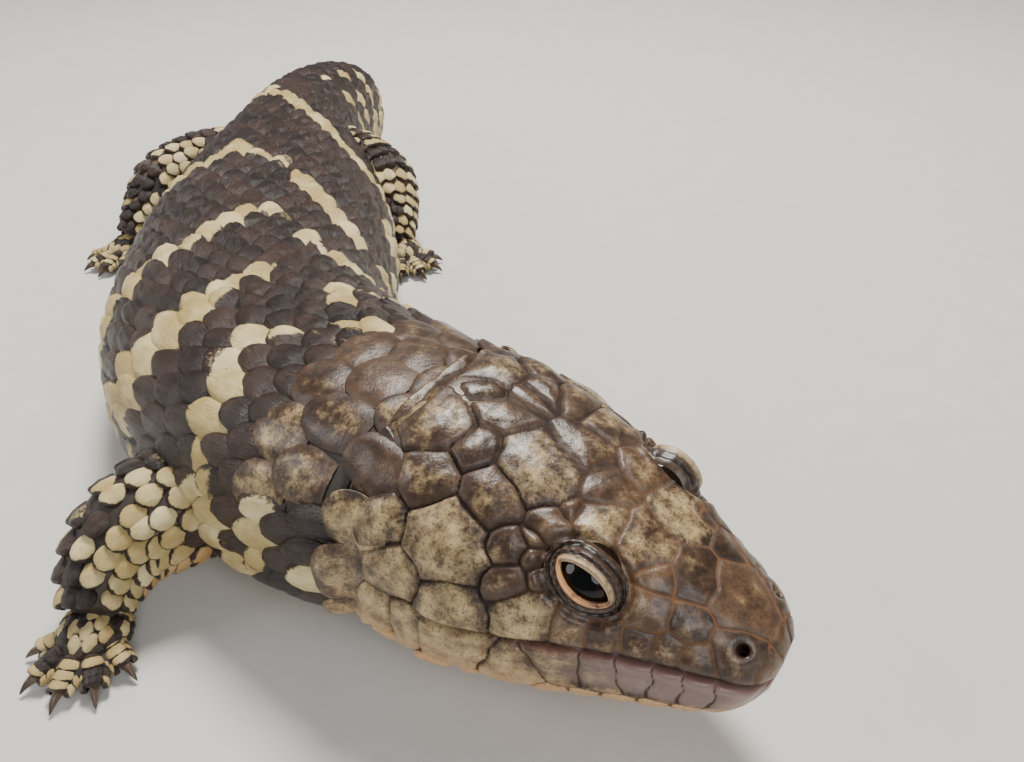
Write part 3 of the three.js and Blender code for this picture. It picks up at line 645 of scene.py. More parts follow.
# Legs: each a line of middles with a radius at each, then the palm and five toes
legs = {
    "foreleg_right": {
        "heading": -106, "palm": (-18.5, -114.5), "size": 1.0, "radii": (13, 12, 10.4, 8, 5.6),
        "points": ((6.5, -86, 15), (-4, -94.5, 16), (-12.5, -100.5, 15), (-17, -107, 11), (-18.3, -112.5, 7)),
    },
    "foreleg_left": {
        "heading": -58, "palm": (58.6, -76), "size": 1.0, "radii": (13, 12, 10.4, 8, 5.6),
        "points": ((24.5, -72.5, 15), (37, -65.5, 16), (46, -65.5, 15), (53.5, -70, 11), (57.4, -74.4, 7)),
    },
    "hindleg_right": {
        "heading": -150, "palm": (-52.5, 43.5), "size": 1.04, "radii": (13, 13, 11, 8, 5.4),
        "points": ((-11.5, 74, 20), (-28, 68, 21), (-40.5, 60.5, 19), (-46.5, 52, 12.5), (-50.5, 45.5, 7.5)),
    },
    "hindleg_left": {
        "heading": -62, "palm": (36.6, 31.5), "size": 1.04, "radii": (13, 13, 11, 8, 5.4),
        "points": ((8.5, 72, 20), (21, 64, 21), (31, 53, 19), (34, 42.5, 12.5), (34.5, 34, 7.5)),
    },
}
foot = {
    "palm": (6.4, 5.9, 4.4), "palmHeight": 3.8,
    "spread": (-64, -31, 0, 29, 60), "reach": (8.2, 10.2, 10.8, 10.2, 8.4),
    # along a toe, height and radius: the root in millimetres, the rest as shares of its reach
    "toeRoot": (1, 2.8, 2.4), "toe": ((0.6, 2.8, 2.4), (1, 2.2, 2.0)),
    # along a claw, height and half thickness
    "claw": ((0, 2.1, 1.1), (1.8, 2.4, 0.95), (3.4, 1.9, 0.65), (4.8, 0.8, 0.2)),
}


class Tube:

    def __init__(self, points, radii):
        points, radii = np.array(points, float), np.array(radii, float)
        full = np.vstack([2 * points[0] - points[1], points, 2 * points[-1] - points[-2]])
        middles, sizes = [], []
        for i in range(len(points) - 1):
            a, b, c, d = full[i:i + 4]
            for t in np.linspace(0, 1, 24, endpoint=False):
                middles.append(0.5 * (2 * b + (c - a) * t + (2 * a - 5 * b + 4 * c - d) * t * t
                                      + (3 * b - a - 3 * c + d) * t ** 3))
                sizes.append(radii[i] + (radii[i + 1] - radii[i]) * t)
        middles.append(points[-1])
        sizes.append(radii[-1])
        self.middles, self.sizes = np.array(middles), np.array(sizes)
        self.places = np.concatenate([[0], np.cumsum(np.linalg.norm(np.diff(self.middles, axis=0), axis=1))])
        self.length = self.places[-1]
        ahead = np.gradient(self.middles, axis=0)
        self.ahead = ahead / np.linalg.norm(ahead, axis=1)[:, None]
        side = np.cross(self.ahead, [0, 0, 1.0])
        self.side = side / (np.linalg.norm(side, axis=1)[:, None] + 1e-9)
        self.up = np.cross(self.side, self.ahead)

    def at(self, place, values):
        if values.ndim == 1:
            return np.interp(place, self.places, values)
        return np.stack([np.interp(place, self.places, values[:, i]) for i in range(3)], -1)

    def point(self, place, a, lift=0.0):
        place, a = np.broadcast_arrays(np.asarray(place, float), np.asarray(a, float))
        reach = self.at(place, self.sizes) + lift
        around = (np.cos(a) * reach)[..., None] * self.at(place, self.side)
        around = around + (np.sin(a) * reach)[..., None] * self.at(place, self.up)
        return self.at(place, self.middles) + around


def toesOf(leg):
    size = leg["size"]
    for spread, reach in zip(foot["spread"], foot["reach"]):
        heading = np.radians(leg["heading"] + spread)
        way = np.array([np.cos(heading), np.sin(heading)])
        stations = [foot["toeRoot"], *((share * reach, high, radius) for share, high, radius in foot["toe"])]
        points = [(*(np.array(leg["palm"]) + way * far * size), high) for far, high, _ in stations]
        yield Tube(points, [radius for _, _, radius in stations])


def palmPoint(leg, tilt, turn, lift=0.0):
    heading = np.radians(leg["heading"])
    tilt, turn = np.broadcast_arrays(np.asarray(tilt, float), np.asarray(turn, float))
    along, across, high = (value * leg["size"] + lift for value in foot["palm"])
    x, y = along * np.sin(tilt) * np.cos(turn), across * np.sin(tilt) * np.sin(turn)
    return np.stack([
        leg["palm"][0] + x * np.cos(heading) - y * np.sin(heading),
        leg["palm"][1] + x * np.sin(heading) + y * np.cos(heading),
        np.maximum(foot["palmHeight"] + high * np.cos(tilt), 0),
    ], -1)


# One skin over the whole animal, just under its scales
skinLook = {
    "voxel": 0.95, "smoothing": 6, "paleShare": 0.6,
    # how far the skin lies under the body's, head's, leg's, palm's and toe's own surface
    "body": 0.9, "head": 2.4, "leg": 0.5, "palm": 0.3, "toe": 0.2,
}
fleshNodes = (
    "head", "lower_jaw", "neck", "torso_front", "torso_mid", "torso_rear", "tail_base", "tail_tip",
    "foreleg_left", "foreleg_right", "hindleg_left", "hindleg_right",
    "forefoot_left", "forefoot_right", "hindfoot_left", "hindfoot_right",
)


def closedGrid(points):
    rows, columns = points.shape[:2]
    faces = gridFaces(rows, columns, loop=True).tolist()
    first, last = rows * columns, rows * columns + 1
    for j in range(columns):
        k = (j + 1) % columns
        faces.append([first, k, j])
        faces.append([last, (rows - 1) * columns + j, (rows - 1) * columns + k])
    return np.vstack([points.reshape(-1, 3), points[0].mean(axis=0), points[-1].mean(axis=0)]), faces


def makeSkin():
    shells = []
    a = np.linspace(-np.pi, np.pi, 96, endpoint=False)
    along = np.linspace(1.5, bodyLength + 3, 200)[:, None]
    shells.append(closedGrid(bodyPoint(along, a[None], -skinLook["body"])))
    along = np.linspace(0.03, 1, 80)[:, None]
    shells.append(closedGrid(headToModel(headPoint(along, a[None], -skinLook["head"]))))
    for leg in legs.values():
        tube = Tube(leg["points"], leg["radii"])
        along = np.linspace(0, tube.length, 40)[:, None]
        shells.append(closedGrid(tube.point(along, a[None, ::2], -skinLook["leg"])))
        tilt = np.linspace(0.02, np.pi - 0.02, 20)[:, None]
        shells.append(closedGrid(palmPoint(leg, tilt, a[None, ::3], -skinLook["palm"])))
        for toe in toesOf(leg):
            along = np.linspace(0, toe.length, 12)[:, None]
            shells.append(closedGrid(toe.point(along, a[None, ::6], -skinLook["toe"])))
    points, faces, start = [], [], 0
    for shellPoints, shellFaces in shells:
        shellPoints[:, 2] = np.maximum(shellPoints[:, 2], 0)
        points.append(shellPoints)
        faces += [[corner + start for corner in face] for face in shellFaces]
        start += len(shellPoints)
    mesh = bpy.data.meshes.new("skinShells")
    mesh.from_pydata((np.vstack(points) * mm).tolist(), [], faces)
    rough = bpy.data.objects.new("skinShells", mesh)
    bpy.context.scene.collection.objects.link(rough)
    remesh = rough.modifiers.new("remesh", "REMESH")
    remesh.mode = "VOXEL"
    remesh.voxel_size = skinLook["voxel"] * mm
    soften = rough.modifiers.new("soften", "SMOOTH")
    soften.iterations = skinLook["smoothing"]
    soften.factor = 0.5
    depsgraph = bpy.context.evaluated_depsgraph_get()
    smoothMesh = bpy.data.meshes.new_from_object(rough.evaluated_get(depsgraph))
    bpy.data.objects.remove(rough)
    points = np.zeros(len(smoothMesh.vertices) * 3)
    smoothMesh.vertices.foreach_get("co", points)
    points = points.reshape(-1, 3) / mm
    points[:, 2] = np.maximum(points[:, 2], 0)
    corners = np.zeros(len(smoothMesh.loops), int)
    smoothMesh.loops.foreach_get("vertex_index", corners)
    faces = corners.reshape(-1, 4)
    nearest = np.array([bodyTree.find_nearest(Vector(point))[2] for point in points])
    row, column = np.divmod(nearest, len(bodyAngles))
    pale = paleness(bodyPlaces[row], bodyAngles[column])
    skin = makeMesh("skin", points, faces, {"cream": pale * skinLook["paleShare"]})
    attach(skin, "root")
    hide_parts(*fleshNodes)
    print("skin", len(faces) * 2, "triangles")
    return skin, BVHTree.FromPolygons(points.tolist(), faces.tolist())


# Scales of the trunk, neck and tail, in rows that each start half a scale on from the last.
# Length is a share of the pitch between rows, wide a share of each scale's room in its row.
coats = {
    "tailScales": {
        "from": 2, "to": 84, "around": 19, "pitch": (4.2, 5.0), "length": 1.85, "wide": 1.12, "rise": 1.7},
    "trunkRearScales": {
        "from": 84, "to": 160, "around": 29, "pitch": (5.0, 5.2), "length": 1.85, "wide": 1.12, "rise": 1.9},
    "trunkFrontScales": {
        "from": 160, "to": 228, "around": 29, "pitch": (5.2, 5.6), "length": 1.85, "wide": 1.12, "rise": 1.9},
    "neckScales": {
        "from": 228, "to": 282, "around": 27, "pitch": (5.4, 6.0), "length": 1.8, "wide": 1.14, "rise": 1.8},
}
coatShape = scaleTemplate(
    rows=17, columns=13, rearPoint=0.975, frontWide=0.5, rise=0.85, dome=0.42, rim=0.22, tuck=0.6)
# the tail's last rows hold fewer scales, and no scale reaches past the first or the last place
coatLook = {
    "tipEnd": 26, "tipBlend": 30, "tipAround": 8, "stray": 0.35, "turnReach": 28, "buried": 1.6,
    "first": 0.3, "last": 286,
}


def rowAngles(s, around, shift):
    fine = np.linspace(0, 2 * np.pi, 361) + np.pi / 2
    side, height = bodySection(np.full(fine.shape, float(s)), fine)
    run = np.concatenate([[0], np.cumsum(np.hypot(np.diff(side), np.diff(height)))])
    spots = (np.arange(around) + shift) / around * run[-1]
    return np.interp(spots, run, fine), run[-1] / around


def buried(tree, points, depth):
    hidden = []
    for point in points:
        spot, normal = tree.find_nearest(Vector(point))[:2]
        hidden.append((Vector(point) - spot).dot(normal) < -depth)
    return np.array(hidden)


# Large plates over the nape, the last ones riding the back of the head
nape = {
    "rows": (266, 274), "reach": 66, "around": 16, "length": 12.5, "wide": 1.16, "rise": 1.5, "last": 288,
    "headRow": 0.955, "step": 3.9, "dip": 1.3, "headGirth": 27, "neckGirth": 30,
}


# Where a scale's patch lies on the unwrapped body
def bodyChart(place, angle):
    return 0.03 + 0.56 * place / 290, 0.03 + 0.94 * ((angle / (2 * np.pi)) % 1)


def underNape(places, angles):
    return (places > nape["rows"][0] - 3) & (np.abs(fromCrown(angles)) < nape["reach"])


def bodyCoat(name, skinTree):
    look = coats[name]
    places, angles, widths, pitches = [], [], [], []
    s, row = look["from"], 0
    while s < look["to"]:
        share = (s - look["from"]) / (look["to"] - look["from"])
        pitch = look["pitch"][0] + (look["pitch"][1] - look["pitch"][0]) * share
        around = look["around"]
        if s < coatLook["tipEnd"]:
            fewest = coatLook["tipAround"]
            around = int(fewest + (around - fewest) * smooth(s / coatLook["tipBlend"]))
        turned, width = rowAngles(s, around, 0.5 * (row % 2))
        places += [s] * around
        angles += turned.tolist()
        widths += [width] * around
        pitches += [pitch] * around
        s += pitch
        row += 1
    places, angles, widths, pitches = map(np.array, (places, angles, widths, pitches))
    places = places + rng.normal(0, coatLook["stray"], len(places))
    angles = angles + rng.normal(0, coatLook["stray"], len(places)) / coatLook["turnReach"]
    roots = bodyPoint(places, angles, 0.4)
    keep = ~buried(skinTree, roots, coatLook["buried"]) & ~underNape(places, angles)
    places, angles, widths, pitches = (column[keep] for column in (places, angles, widths, pitches))
    count = len(places)
    beneath = smooth((-np.sin(angles) - 0.1) / 0.35)  # belly scales lie flat
    length = pitches * look["length"] * rng.normal(1, 0.05, count)
    width = widths * look["wide"] * rng.normal(1, 0.05, count)
    nudge = 0.03
    step = bodyPoint(places, angles + nudge) - bodyPoint(places, angles - nudge)
    step = np.linalg.norm(step, axis=-1) / (2 * nudge)
    u, across = coatShape["u"][None], coatShape["across"][None]
    twist = each(rng.normal(0, 0.06, count))
    along = u * each(length) / 2
    aside = across * each(width) / 2
    s = each(places) + along * np.cos(twist) - aside * np.sin(twist)
    a = each(angles) + (aside * np.cos(twist) + along * np.sin(twist)) / each(np.maximum(step, 6))
    rise = each(look["rise"] * (1 - 0.75 * beneath) * rng.uniform(0.85, 1.15, count))
    lift = np.where(coatShape["skirt"][None], coatShape["lift"][None], coatShape["lift"][None] * rise)
    pale = 0.6 * each(paleness(places, angles)) + 0.4 * paleness(s, a)
    pale = smooth((pale + each(rng.normal(0, 0.1, count)) - 0.5) / 0.4 + 0.5)
    lift = lift + ridges(coatShape, count, 0.1) * each(1 - 0.6 * beneath)
    lift = lift + 0.3 * pale * each(1 - beneath) * ~coatShape["skirt"][None]
    points = bodyPoint(np.clip(s, coatLook["first"], coatLook["last"]), a, lift)
    chart = np.stack(bodyChart(places, angles), -1)
    warm = beneath * rng.uniform(0.2, 0.6, count)
    return scaleMesh(name, coatShape, points, chart, pale, warm, rng.uniform(-1, 1, count), 0.5)


def napeCoat(name):
    points, charts, turns = [], [], []
    u, across = coatShape["u"], coatShape["across"]
    for row, place in enumerate((*nape["rows"], bodyLength + 6)):
        angles, width = rowAngles(min(place, bodyLength), nape["around"], 0.5 * (row % 2))
        for angle in angles:
            turn = abs(fromCrown(angle))
            if turn > (nape["reach"] if place < bodyLength else 180):
                continue
            rise = nape["rise"] * (1 - 0.6 * smooth((turn - 95) / 30)) * rng.uniform(0.85, 1.15)
            rough = ridges(coatShape, 1, 0.07)[0]
            lift = np.where(coatShape["skirt"], coatShape["lift"], coatShape["lift"] * rise + rough)
            along = u * nape["length"] * rng.uniform(0.92, 1.08) / 2
            aside = across * width * nape["wide"] / 2
            if place > bodyLength:
                spot = nape["headRow"] + rng.normal(0, 0.008) - along / head["length"]
                crown = max(np.sin(angle), 0) ** 1.5
                step = (nape["step"] * (1 - crown) - nape["dip"] * crown) * smooth((spot - 0.93) / 0.08)
                turned = angle + aside / nape["headGirth"]
                points.append(headToModel(headPoint(spot, turned, lift + 0.15 + step)))
            else:
                turned = angle + aside / nape["neckGirth"]
                points.append(bodyPoint(np.minimum(place + along, nape["last"]), turned, lift))
            charts.append(bodyChart(min(place, nape["last"]), angle))
            turns.append(turn)
    points = np.maximum(np.array(points), [-1e3, -1e3, 0.05])
    turns = np.array(turns)
    count = len(points)
    pale = np.clip(0.25 + 0.45 * smooth((turns - 35) / 40) + rng.normal(0, 0.16, count), 0, 1)
    more = {"rear": 1.0, "headAlong": 0.0}
    warm = smooth((turns - 100) / 25) * 0.7
    tone = rng.uniform(-1, 1, count)
    return scaleMesh(name, coatShape, points, np.array(charts), pale, warm, tone, 0.3, more)


# Small rounded scales on the legs and feet, laid flat on the skin and bent round the limb
limbShape = scaleTemplate(
    rows=12, columns=11, rearPoint=0.93, frontWide=0.9, rise=0.5, dome=0.75, rim=0.35, tuck=0.25)
limbLook = {"pitch": 2.8, "pitchMore": 0.9, "toePitch": 1.75, "buried": 1.5, "small": 3, "rimDark": 0.85}


def layFlat(template, roots, normals, rears, lengths, widths, radii, rise, rough):
    normals = normals / np.linalg.norm(normals, axis=-1)[:, None]
    rears = rears - normals * (rears * normals).sum(-1)[:, None]
    rears = rears / np.linalg.norm(rears, axis=-1)[:, None]
    sides = np.cross(rears, normals)
    lift = np.where(template["skirt"][None], template["lift"][None], template["lift"][None] * each(rise))
    lift = lift + ridges(template, len(roots), 0.04) * each(rough)
    aside = template["across"][None] * each(widths) / 2
    radius = each(radii)
    turn = aside / radius
    sideways = (radius + lift) * np.sin(turn)
    height = (radius + lift) * np.cos(turn) - radius
    along = -template["u"][None] * each(lengths) / 2
    points = each(roots) + along[..., None] * each(rears)
    points = points + sideways[..., None] * each(sides) + height[..., None] * each(normals)
    points[..., 2] = np.maximum(points[..., 2], 0)
    return points


def limbCoat(name, leg, number, skinTree):
    spots = []  # root, normal, rear, length, width, radius, pale, warm, chart

    def add(root, normal, rear, length, width, radius, pale, warm, place):
        spots.append((root, normal, rear, length, width, radius, pale, warm, place))

    tube = Tube(leg["points"], leg["radii"])
    fore = name.startswith("fore")
    place, row = 1.0, 0
    while place < tube.length + 1:
        radius = float(np.interp(place, tube.places, tube.sizes))
        pitch = limbLook["pitch"] + limbLook["pitchMore"] * smooth((radius - 4.5) / 4)
        around = max(int(round(2 * np.pi * radius / (pitch * 1.22))), 5)
        for j in range(around):
            a = (j + 0.5 * (row % 2)) / around * 2 * np.pi + rng.normal(0, 0.05)
            root = tube.point(place, a)
            normal = root - tube.at(place, tube.middles)
            under = smooth((-normal[2] / radius - 0.1) / 0.4)
            noise = float(waves(place, a * radius, 40 + number, 12)) + rng.normal(0, 0.16)
            outer = normal[0] / radius * (1 if name.endswith("left") else -1)
            noise += 0.3 * normal[2] / radius - 0.55 * outer + (0.0 if fore else -0.12)
            pale = smooth((noise - 0.02) / 0.16)
            add(root, normal, tube.at(place, tube.ahead), pitch * 1.38, 2 * np.pi * radius / around * 1.08,
                radius, max(pale, 0.7 * under), under * 0.9, (place / 60, a / (2 * np.pi) % 1))
        place += pitch
        row += 1
    heading = np.radians(leg["heading"])
    ahead = np.array([np.cos(heading), np.sin(heading), 0])
    for ring, tilt in enumerate(np.radians((8, 30, 52, 74, 96))):
        around = max(int(round(14 * np.sin(tilt))), 3)
        for j in range(around):
            turn = (j + 0.5 * (ring % 2)) / around * 2 * np.pi
            root = palmPoint(leg, tilt, turn)
            normal = palmPoint(leg, tilt, turn, 0.5) - root
            add(root, normal, ahead + [0, 0, -0.05], 3.8, 3.0, 6.0, 0.85 * (rng.random() < 0.5), 0.1,
                (0.72 + 0.12 * tilt * np.cos(turn) / 1.7, 0.5 + 0.3 * tilt * np.sin(turn) / 1.7))
    for toe, line in enumerate(toesOf(leg)):
        for place in np.arange(line.length * 0.3, line.length + 0.6, limbLook["toePitch"]):
            radius = float(np.interp(place, line.places, line.sizes))
            for a, wide in ((np.pi / 2, 2.1), (np.pi / 2 + 1.5, 1.2), (np.pi / 2 - 1.5, 1.2)):
                root = line.point(min(place, line.length - 0.01), a)
                normal, rear = root - line.at(place, line.middles), line.at(place, line.ahead)
                spot = (0.86 + 0.02 * toe, 0.1 + 0.6 * place / 14 + 0.1 * a / 6)
                add(root, normal, rear, 2.9, radius * wide, radius, 0.9 * (rng.random() < 0.75), 0.05, spot)
    columns = [np.array([spot[i] for spot in spots]) for i in range(9)]
    keep = ~buried(skinTree, columns[0], limbLook["buried"])
    root, normal, rear, length, width, radius, pale, warm, place = (column[keep] for column in columns)
    small = length < limbLook["small"]
    rise = np.where(small, 0.55, 1.0) * rng.uniform(0.85, 1.15, len(root))
    rough = np.where(small, 0.3, 1.0)
    points = layFlat(limbShape, root, normal, rear, length, width, radius, rise, rough)
    chart = np.stack([0.62 + 0.35 * place[:, 0], 0.03 + 0.235 * number + 0.2 * place[:, 1]], -1)
    tone = rng.uniform(-1, 1, len(root))
    return scaleMesh(name, limbShape, points, chart, pale, warm, tone, limbLook["rimDark"])


clawLook = {"rings": 14, "around": 16, "tip": 0.08, "back": 0.5, "wide": 0.8, "tall": 1.1}


def makeClaws(leg, name, nodes):
    size, count, around, back = leg["size"], clawLook["rings"], clawLook["around"], clawLook["back"]
    rings, shades = [], []
    for spread, reach in zip(foot["spread"], foot["reach"]):
        heading = np.radians(leg["heading"] + spread)
        way = np.array([np.cos(heading), np.sin(heading), 0])
        across = np.array([-way[1], way[0], 0])
        rows = np.linspace(0, 1, count)
        knots = np.array(foot["claw"])
        far = np.interp(rows, np.linspace(0, 1, len(knots)), knots[:, 0]) - back
        high = np.polyval(np.polyfit(knots[:, 0], knots[:, 1], 3), far + back)
        thick = np.interp(rows, np.linspace(0, 1, len(knots)), knots[:, 2])
        thick[-1] = clawLook["tip"]
        a = np.linspace(0, 2 * np.pi, around, endpoint=False)
        middle = np.array([*leg["palm"], 0]) + way * (reach * size + far)[:, None] + [0, 0, 1] * high[:, None]
        ring = middle[:, None] + thick[:, None, None] * (
            clawLook["wide"] * np.cos(a)[None, :, None] * across
            + clawLook["tall"] * np.sin(a)[None, :, None] * np.array([0, 0, 1]))
        ring[..., 2] = np.maximum(ring[..., 2], 0.05)
        rings.append(ring)
        shades.append(np.broadcast_to(rows[:, None], ring.shape[:2]))
    base = gridFaces(count, around, loop=True)
    faces = np.vstack([base + k * count * around for k in range(len(rings))])
    claw, x, y = np.meshgrid(np.arange(len(rings)), np.arange(count), np.arange(around), indexing="ij")
    chart = np.stack([0.02 + 0.19 * claw + 0.16 * y / (around - 1), 0.02 + 0.96 * x / (count - 1)], -1)
    values = {"alongClaw": np.array(shades).ravel()}
    piece = makeMesh(name, np.array(rings).reshape(-1, 3), faces, values, chart.reshape(-1, 2))
    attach(piece, "root")
    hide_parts(*nodes)
    return piece


# Finishes
class Wires:

    def __init__(self, tree):
        self.tree = tree

    def node(self, kind, **settings):
        made = self.tree.nodes.new(kind)
        for key, value in settings.items():
            setattr(made, key, value)
        return made

    def attach(self, source, socket):
        if isinstance(source, (int, float, tuple)):
            socket.default_value = source
        else:
            self.tree.links.new(source, socket)

    def value(self, key):
        return self.node("ShaderNodeAttribute", attribute_name=key).outputs["Fac"]

    def math(self, operation, a, b):
        made = self.node("ShaderNodeMath", operation=operation)
        self.attach(a, made.inputs[0])
        self.attach(b, made.inputs[1])
        return made.outputs[0]

    def plus(self, a, b):
        return self.math("ADD", a, b)

    def minus(self, a, b):
        return self.math("SUBTRACT", a, b)

    def times(self, a, b):
        return self.math("MULTIPLY", a, b)

    def between(self, value, low, high):
        made = self.node("ShaderNodeMapRange", interpolation_type="SMOOTHSTEP")
        self.attach(value, made.inputs[0])
        made.inputs[1].default_value = low
        made.inputs[2].default_value = high
        return made.outputs[0]

    def mix(self, share, a, b):
        made = self.node("ShaderNodeMix", data_type="RGBA")
        self.attach(share, made.inputs["Factor"])
        self.attach(a, made.inputs[6])
        self.attach(b, made.inputs[7])
        return made.outputs[2]

    def spot(self, x, y, z=0.0):
        made = self.node("ShaderNodeCombineXYZ")
        for source, socket in zip((x, y, z), made.inputs):
            self.attach(source, socket)
        return made.outputs[0]

    def noise(self, where, scale, detail=3.0, stretch=None, rough=0.55):
        if stretch:
            made = self.node("ShaderNodeMapping")
            self.attach(where, made.inputs["Vector"])
            made.inputs["Scale"].default_value = stretch
            where = made.outputs[0]
        made = self.node("ShaderNodeTexNoise")
        self.attach(where, made.inputs["Vector"])
        made.inputs["Scale"].default_value = scale
        made.inputs["Detail"].default_value = detail
        made.inputs["Roughness"].default_value = rough
        return made.outputs["Fac"]

    def bump(self, height, strength, distance, under=None):
        made = self.node("ShaderNodeBump")
        made.inputs["Strength"].default_value = strength
        made.inputs["Distance"].default_value = distance * mm
        self.attach(height, made.inputs["Height"])
        if under is not None:
            self.attach(under, made.inputs["Normal"])
        return made.outputs[0]


def finish(name):
    material = bpy.data.materials.new(name)
    material.use_nodes = True
    wires = Wires(material.node_tree)
    place = wires.node("ShaderNodeTexCoord").outputs["Object"]
    return material, wires, material.node_tree.nodes["Principled BSDF"], place


def scaleFinish():
    material, w, shader, place = finish("roughScale")
    grain = w.spot(w.value("grainAlong"), w.value("grainAcross"))
    streak = w.noise(grain, 3.2, 4.0, (1.0, 5.0, 1.0), 0.65)
    blotch = w.noise(place, 150.0, 3.0)
    fine = w.noise(place, 1500.0, 3.0, None, 0.7)
    tone = w.value("tone")
    dark = w.mix(w.between(w.plus(blotch, w.times(tone, 0.12)), 0.3, 0.75),
                 (0.011, 0.0056, 0.0038, 1), (0.042, 0.0215, 0.0142, 1))
    dark = w.mix(w.times(w.between(streak, 0.52, 0.8), 0.55), dark, (0.09, 0.053, 0.037, 1))
    pale = w.mix(w.between(w.plus(blotch, w.times(tone, 0.15)), 0.3, 0.8),
                 (0.46, 0.33, 0.12, 1), (0.76, 0.64, 0.34, 1))
    pale = w.mix(w.times(w.between(streak, 0.52, 0.74), 0.6), pale, (0.19, 0.105, 0.035, 1))
    pale = w.mix(w.times(w.value("warm"), 0.7), pale, (0.52, 0.25, 0.08, 1))
    cream = w.minus(w.value("cream"), w.value("rimDark"))
    share = w.between(w.plus(cream, w.times(w.minus(fine, 0.5), 0.9)), 0.3, 0.6)
    colour = w.mix(share, dark, pale)
    worn = w.plus(w.value("edge"), w.minus(fine, 0.5))
    worn = w.times(w.between(worn, 0.7, 1.25), 0.3)
    colour = w.mix(worn, colour, (0.085, 0.055, 0.035, 1))
    w.attach(colour, shader.inputs["Base Color"])
    gloss = w.plus(w.times(fine, 0.32), 0.17)
    w.attach(w.plus(gloss, w.times(share, 0.08)), shader.inputs["Roughness"])
    shader.inputs["Specular IOR Level"].default_value = 0.5
    relief = w.bump(streak, 0.8, 0.5)
    w.attach(w.bump(fine, 0.45, 0.2, relief), shader.inputs["Normal"])
    return material


def headFinish():
    material, w, shader, place = finish("headPlate")
    blotch = w.noise(place, 330.0, 6.0, None, 0.68)
    fleck = w.noise(place, 1700.0, 3.0, None, 0.65)
    fine = w.noise(place, 2600.0, 3.0, None, 0.7)
    tone = w.value("tone")
    brown = w.mix(w.between(w.plus(blotch, w.times(tone, 0.08)), 0.3, 0.72),
                  (0.026, 0.0135, 0.0075, 1), (0.135, 0.074, 0.038, 1))
    brown = w.mix(w.times(w.value("rear"), 0.4), brown, (0.026, 0.014, 0.0105, 1))
    cream = w.mix(w.between(blotch, 0.3, 0.7), (0.3, 0.195, 0.09, 1), (0.56, 0.42, 0.21, 1))
    cream = w.mix(w.value("warm"), cream, (0.6, 0.36, 0.17, 1))
    centre = w.between(w.value("middle"), 0.05, 0.5)
    mottled = w.plus(w.times(w.value("cream"), 0.62), w.times(centre, 0.2))
    mottled = w.plus(mottled, w.times(w.minus(blotch, 0.5), 1.25))
    mottled = w.plus(mottled, w.times(w.minus(fleck, 0.5), 0.9))
    mottled = w.plus(mottled, w.times(w.value("warm"), 0.4))
    share = w.times(w.between(mottled, 0.3, 0.86), 0.88)
    colour = w.mix(share, brown, cream)
    specks = w.times(w.between(fleck, 0.54, 0.64), 0.7)
    specks = w.times(specks, w.minus(1.0, w.times(w.value("warm"), 0.7)))
    colour = w.mix(specks, colour, (0.05, 0.03, 0.018, 1))
    # seams between plates: the orange lines at the snout are the plates' own colour; the near-black in the
    # deeper rear grooves and along the lower jaw is painted shade
    front = w.between(w.value("headAlong"), 26.0, 44.0)
    seamLineAndShade = w.mix(front, (0.016, 0.008, 0.005, 1), (0.15, 0.066, 0.025, 1))
    colour = w.mix(w.times(w.value("lipGrey"), 0.75), colour, (0.25, 0.175, 0.155, 1))
    colour = w.mix(w.times(w.value("lipPink"), 0.7), colour, (0.22, 0.09, 0.07, 1))
    seamLineAndShade = w.mix(w.value("lower"), seamLineAndShade, (0.02, 0.009, 0.006, 1))
    colour = w.mix(w.times(w.between(w.value("groove"), 0.35, 0.9), 0.85), colour, seamLineAndShade)
    # painted shade in the nostrils, ear openings, eye sockets and mouth line
    colour = w.mix(w.times(w.value("hollowShade"), 0.85), colour, (0.02, 0.011, 0.008, 1))
    w.attach(colour, shader.inputs["Base Color"])
    gloss = w.plus(w.times(fine, 0.24), 0.2)
    rim = w.times(w.between(w.value("middle"), 0.3, 0.0), 0.16)
    gloss = w.plus(gloss, rim)
    w.attach(w.plus(gloss, w.times(w.value("groove"), 0.5)), shader.inputs["Roughness"])
    shader.inputs["Specular IOR Level"].default_value = 0.48
    relief = w.bump(blotch, 0.3, 0.6)
    w.attach(w.bump(fine, 0.35, 0.1, relief), shader.inputs["Normal"])
    return material


def skinFinish():
    material, w, shader, place = finish("skinBetweenScales")
    blotch = w.noise(place, 400.0, 4.0)
    dark = w.mix(blotch, (0.012, 0.008, 0.006, 1), (0.035, 0.024, 0.018, 1))
    w.attach(w.mix(w.value("cream"), dark, (0.25, 0.16, 0.08, 1)), shader.inputs["Base Color"])
    shader.inputs["Roughness"].default_value = 0.6
    w.attach(w.bump(blotch, 0.4, 0.2), shader.inputs["Normal"])
    return material


def lidFinish():
    material, w, shader, place = finish("eyelid")
    blotch = w.noise(place, 900.0, 3.0)
    dark = w.mix(blotch, (0.014, 0.008, 0.0055, 1), (0.06, 0.033, 0.019, 1))
    dark = w.mix(w.times(w.value("bead"), 0.3), dark, (0.1, 0.058, 0.033, 1))
    # painted shade in the creases between the lid's folds
    dark = w.mix(w.between(w.value("foldShade"), 0.55, 0.95), dark, (0.008, 0.005, 0.004, 1))
    rim = w.mix(w.value("lower"), (0.42, 0.3, 0.17, 1), (0.45, 0.22, 0.1, 1))
    colour = w.mix(w.times(w.value("rim"), w.between(blotch, 0.2, 0.55)), dark, rim)
    w.attach(colour, shader.inputs["Base Color"])
    shader.inputs["Roughness"].default_value = 0.4
    w.attach(w.bump(blotch, 0.35, 0.15), shader.inputs["Normal"])
    return material


def eyeFinish():
    material, w, shader, place = finish("wetEye")
    iris = w.noise(place, 1200.0, 3.0)
    brown = w.mix(iris, (0.0025, 0.0015, 0.001, 1), (0.014, 0.006, 0.003, 1))
    pupil = w.between(w.value("fromMiddle"), 0.3, 0.42)
    w.attach(w.mix(pupil, (0.001, 0.001, 0.001, 1), brown), shader.inputs["Base Color"])
    shader.inputs["Roughness"].default_value = 0.06
    shader.inputs["Specular IOR Level"].default_value = 0.3
    return material


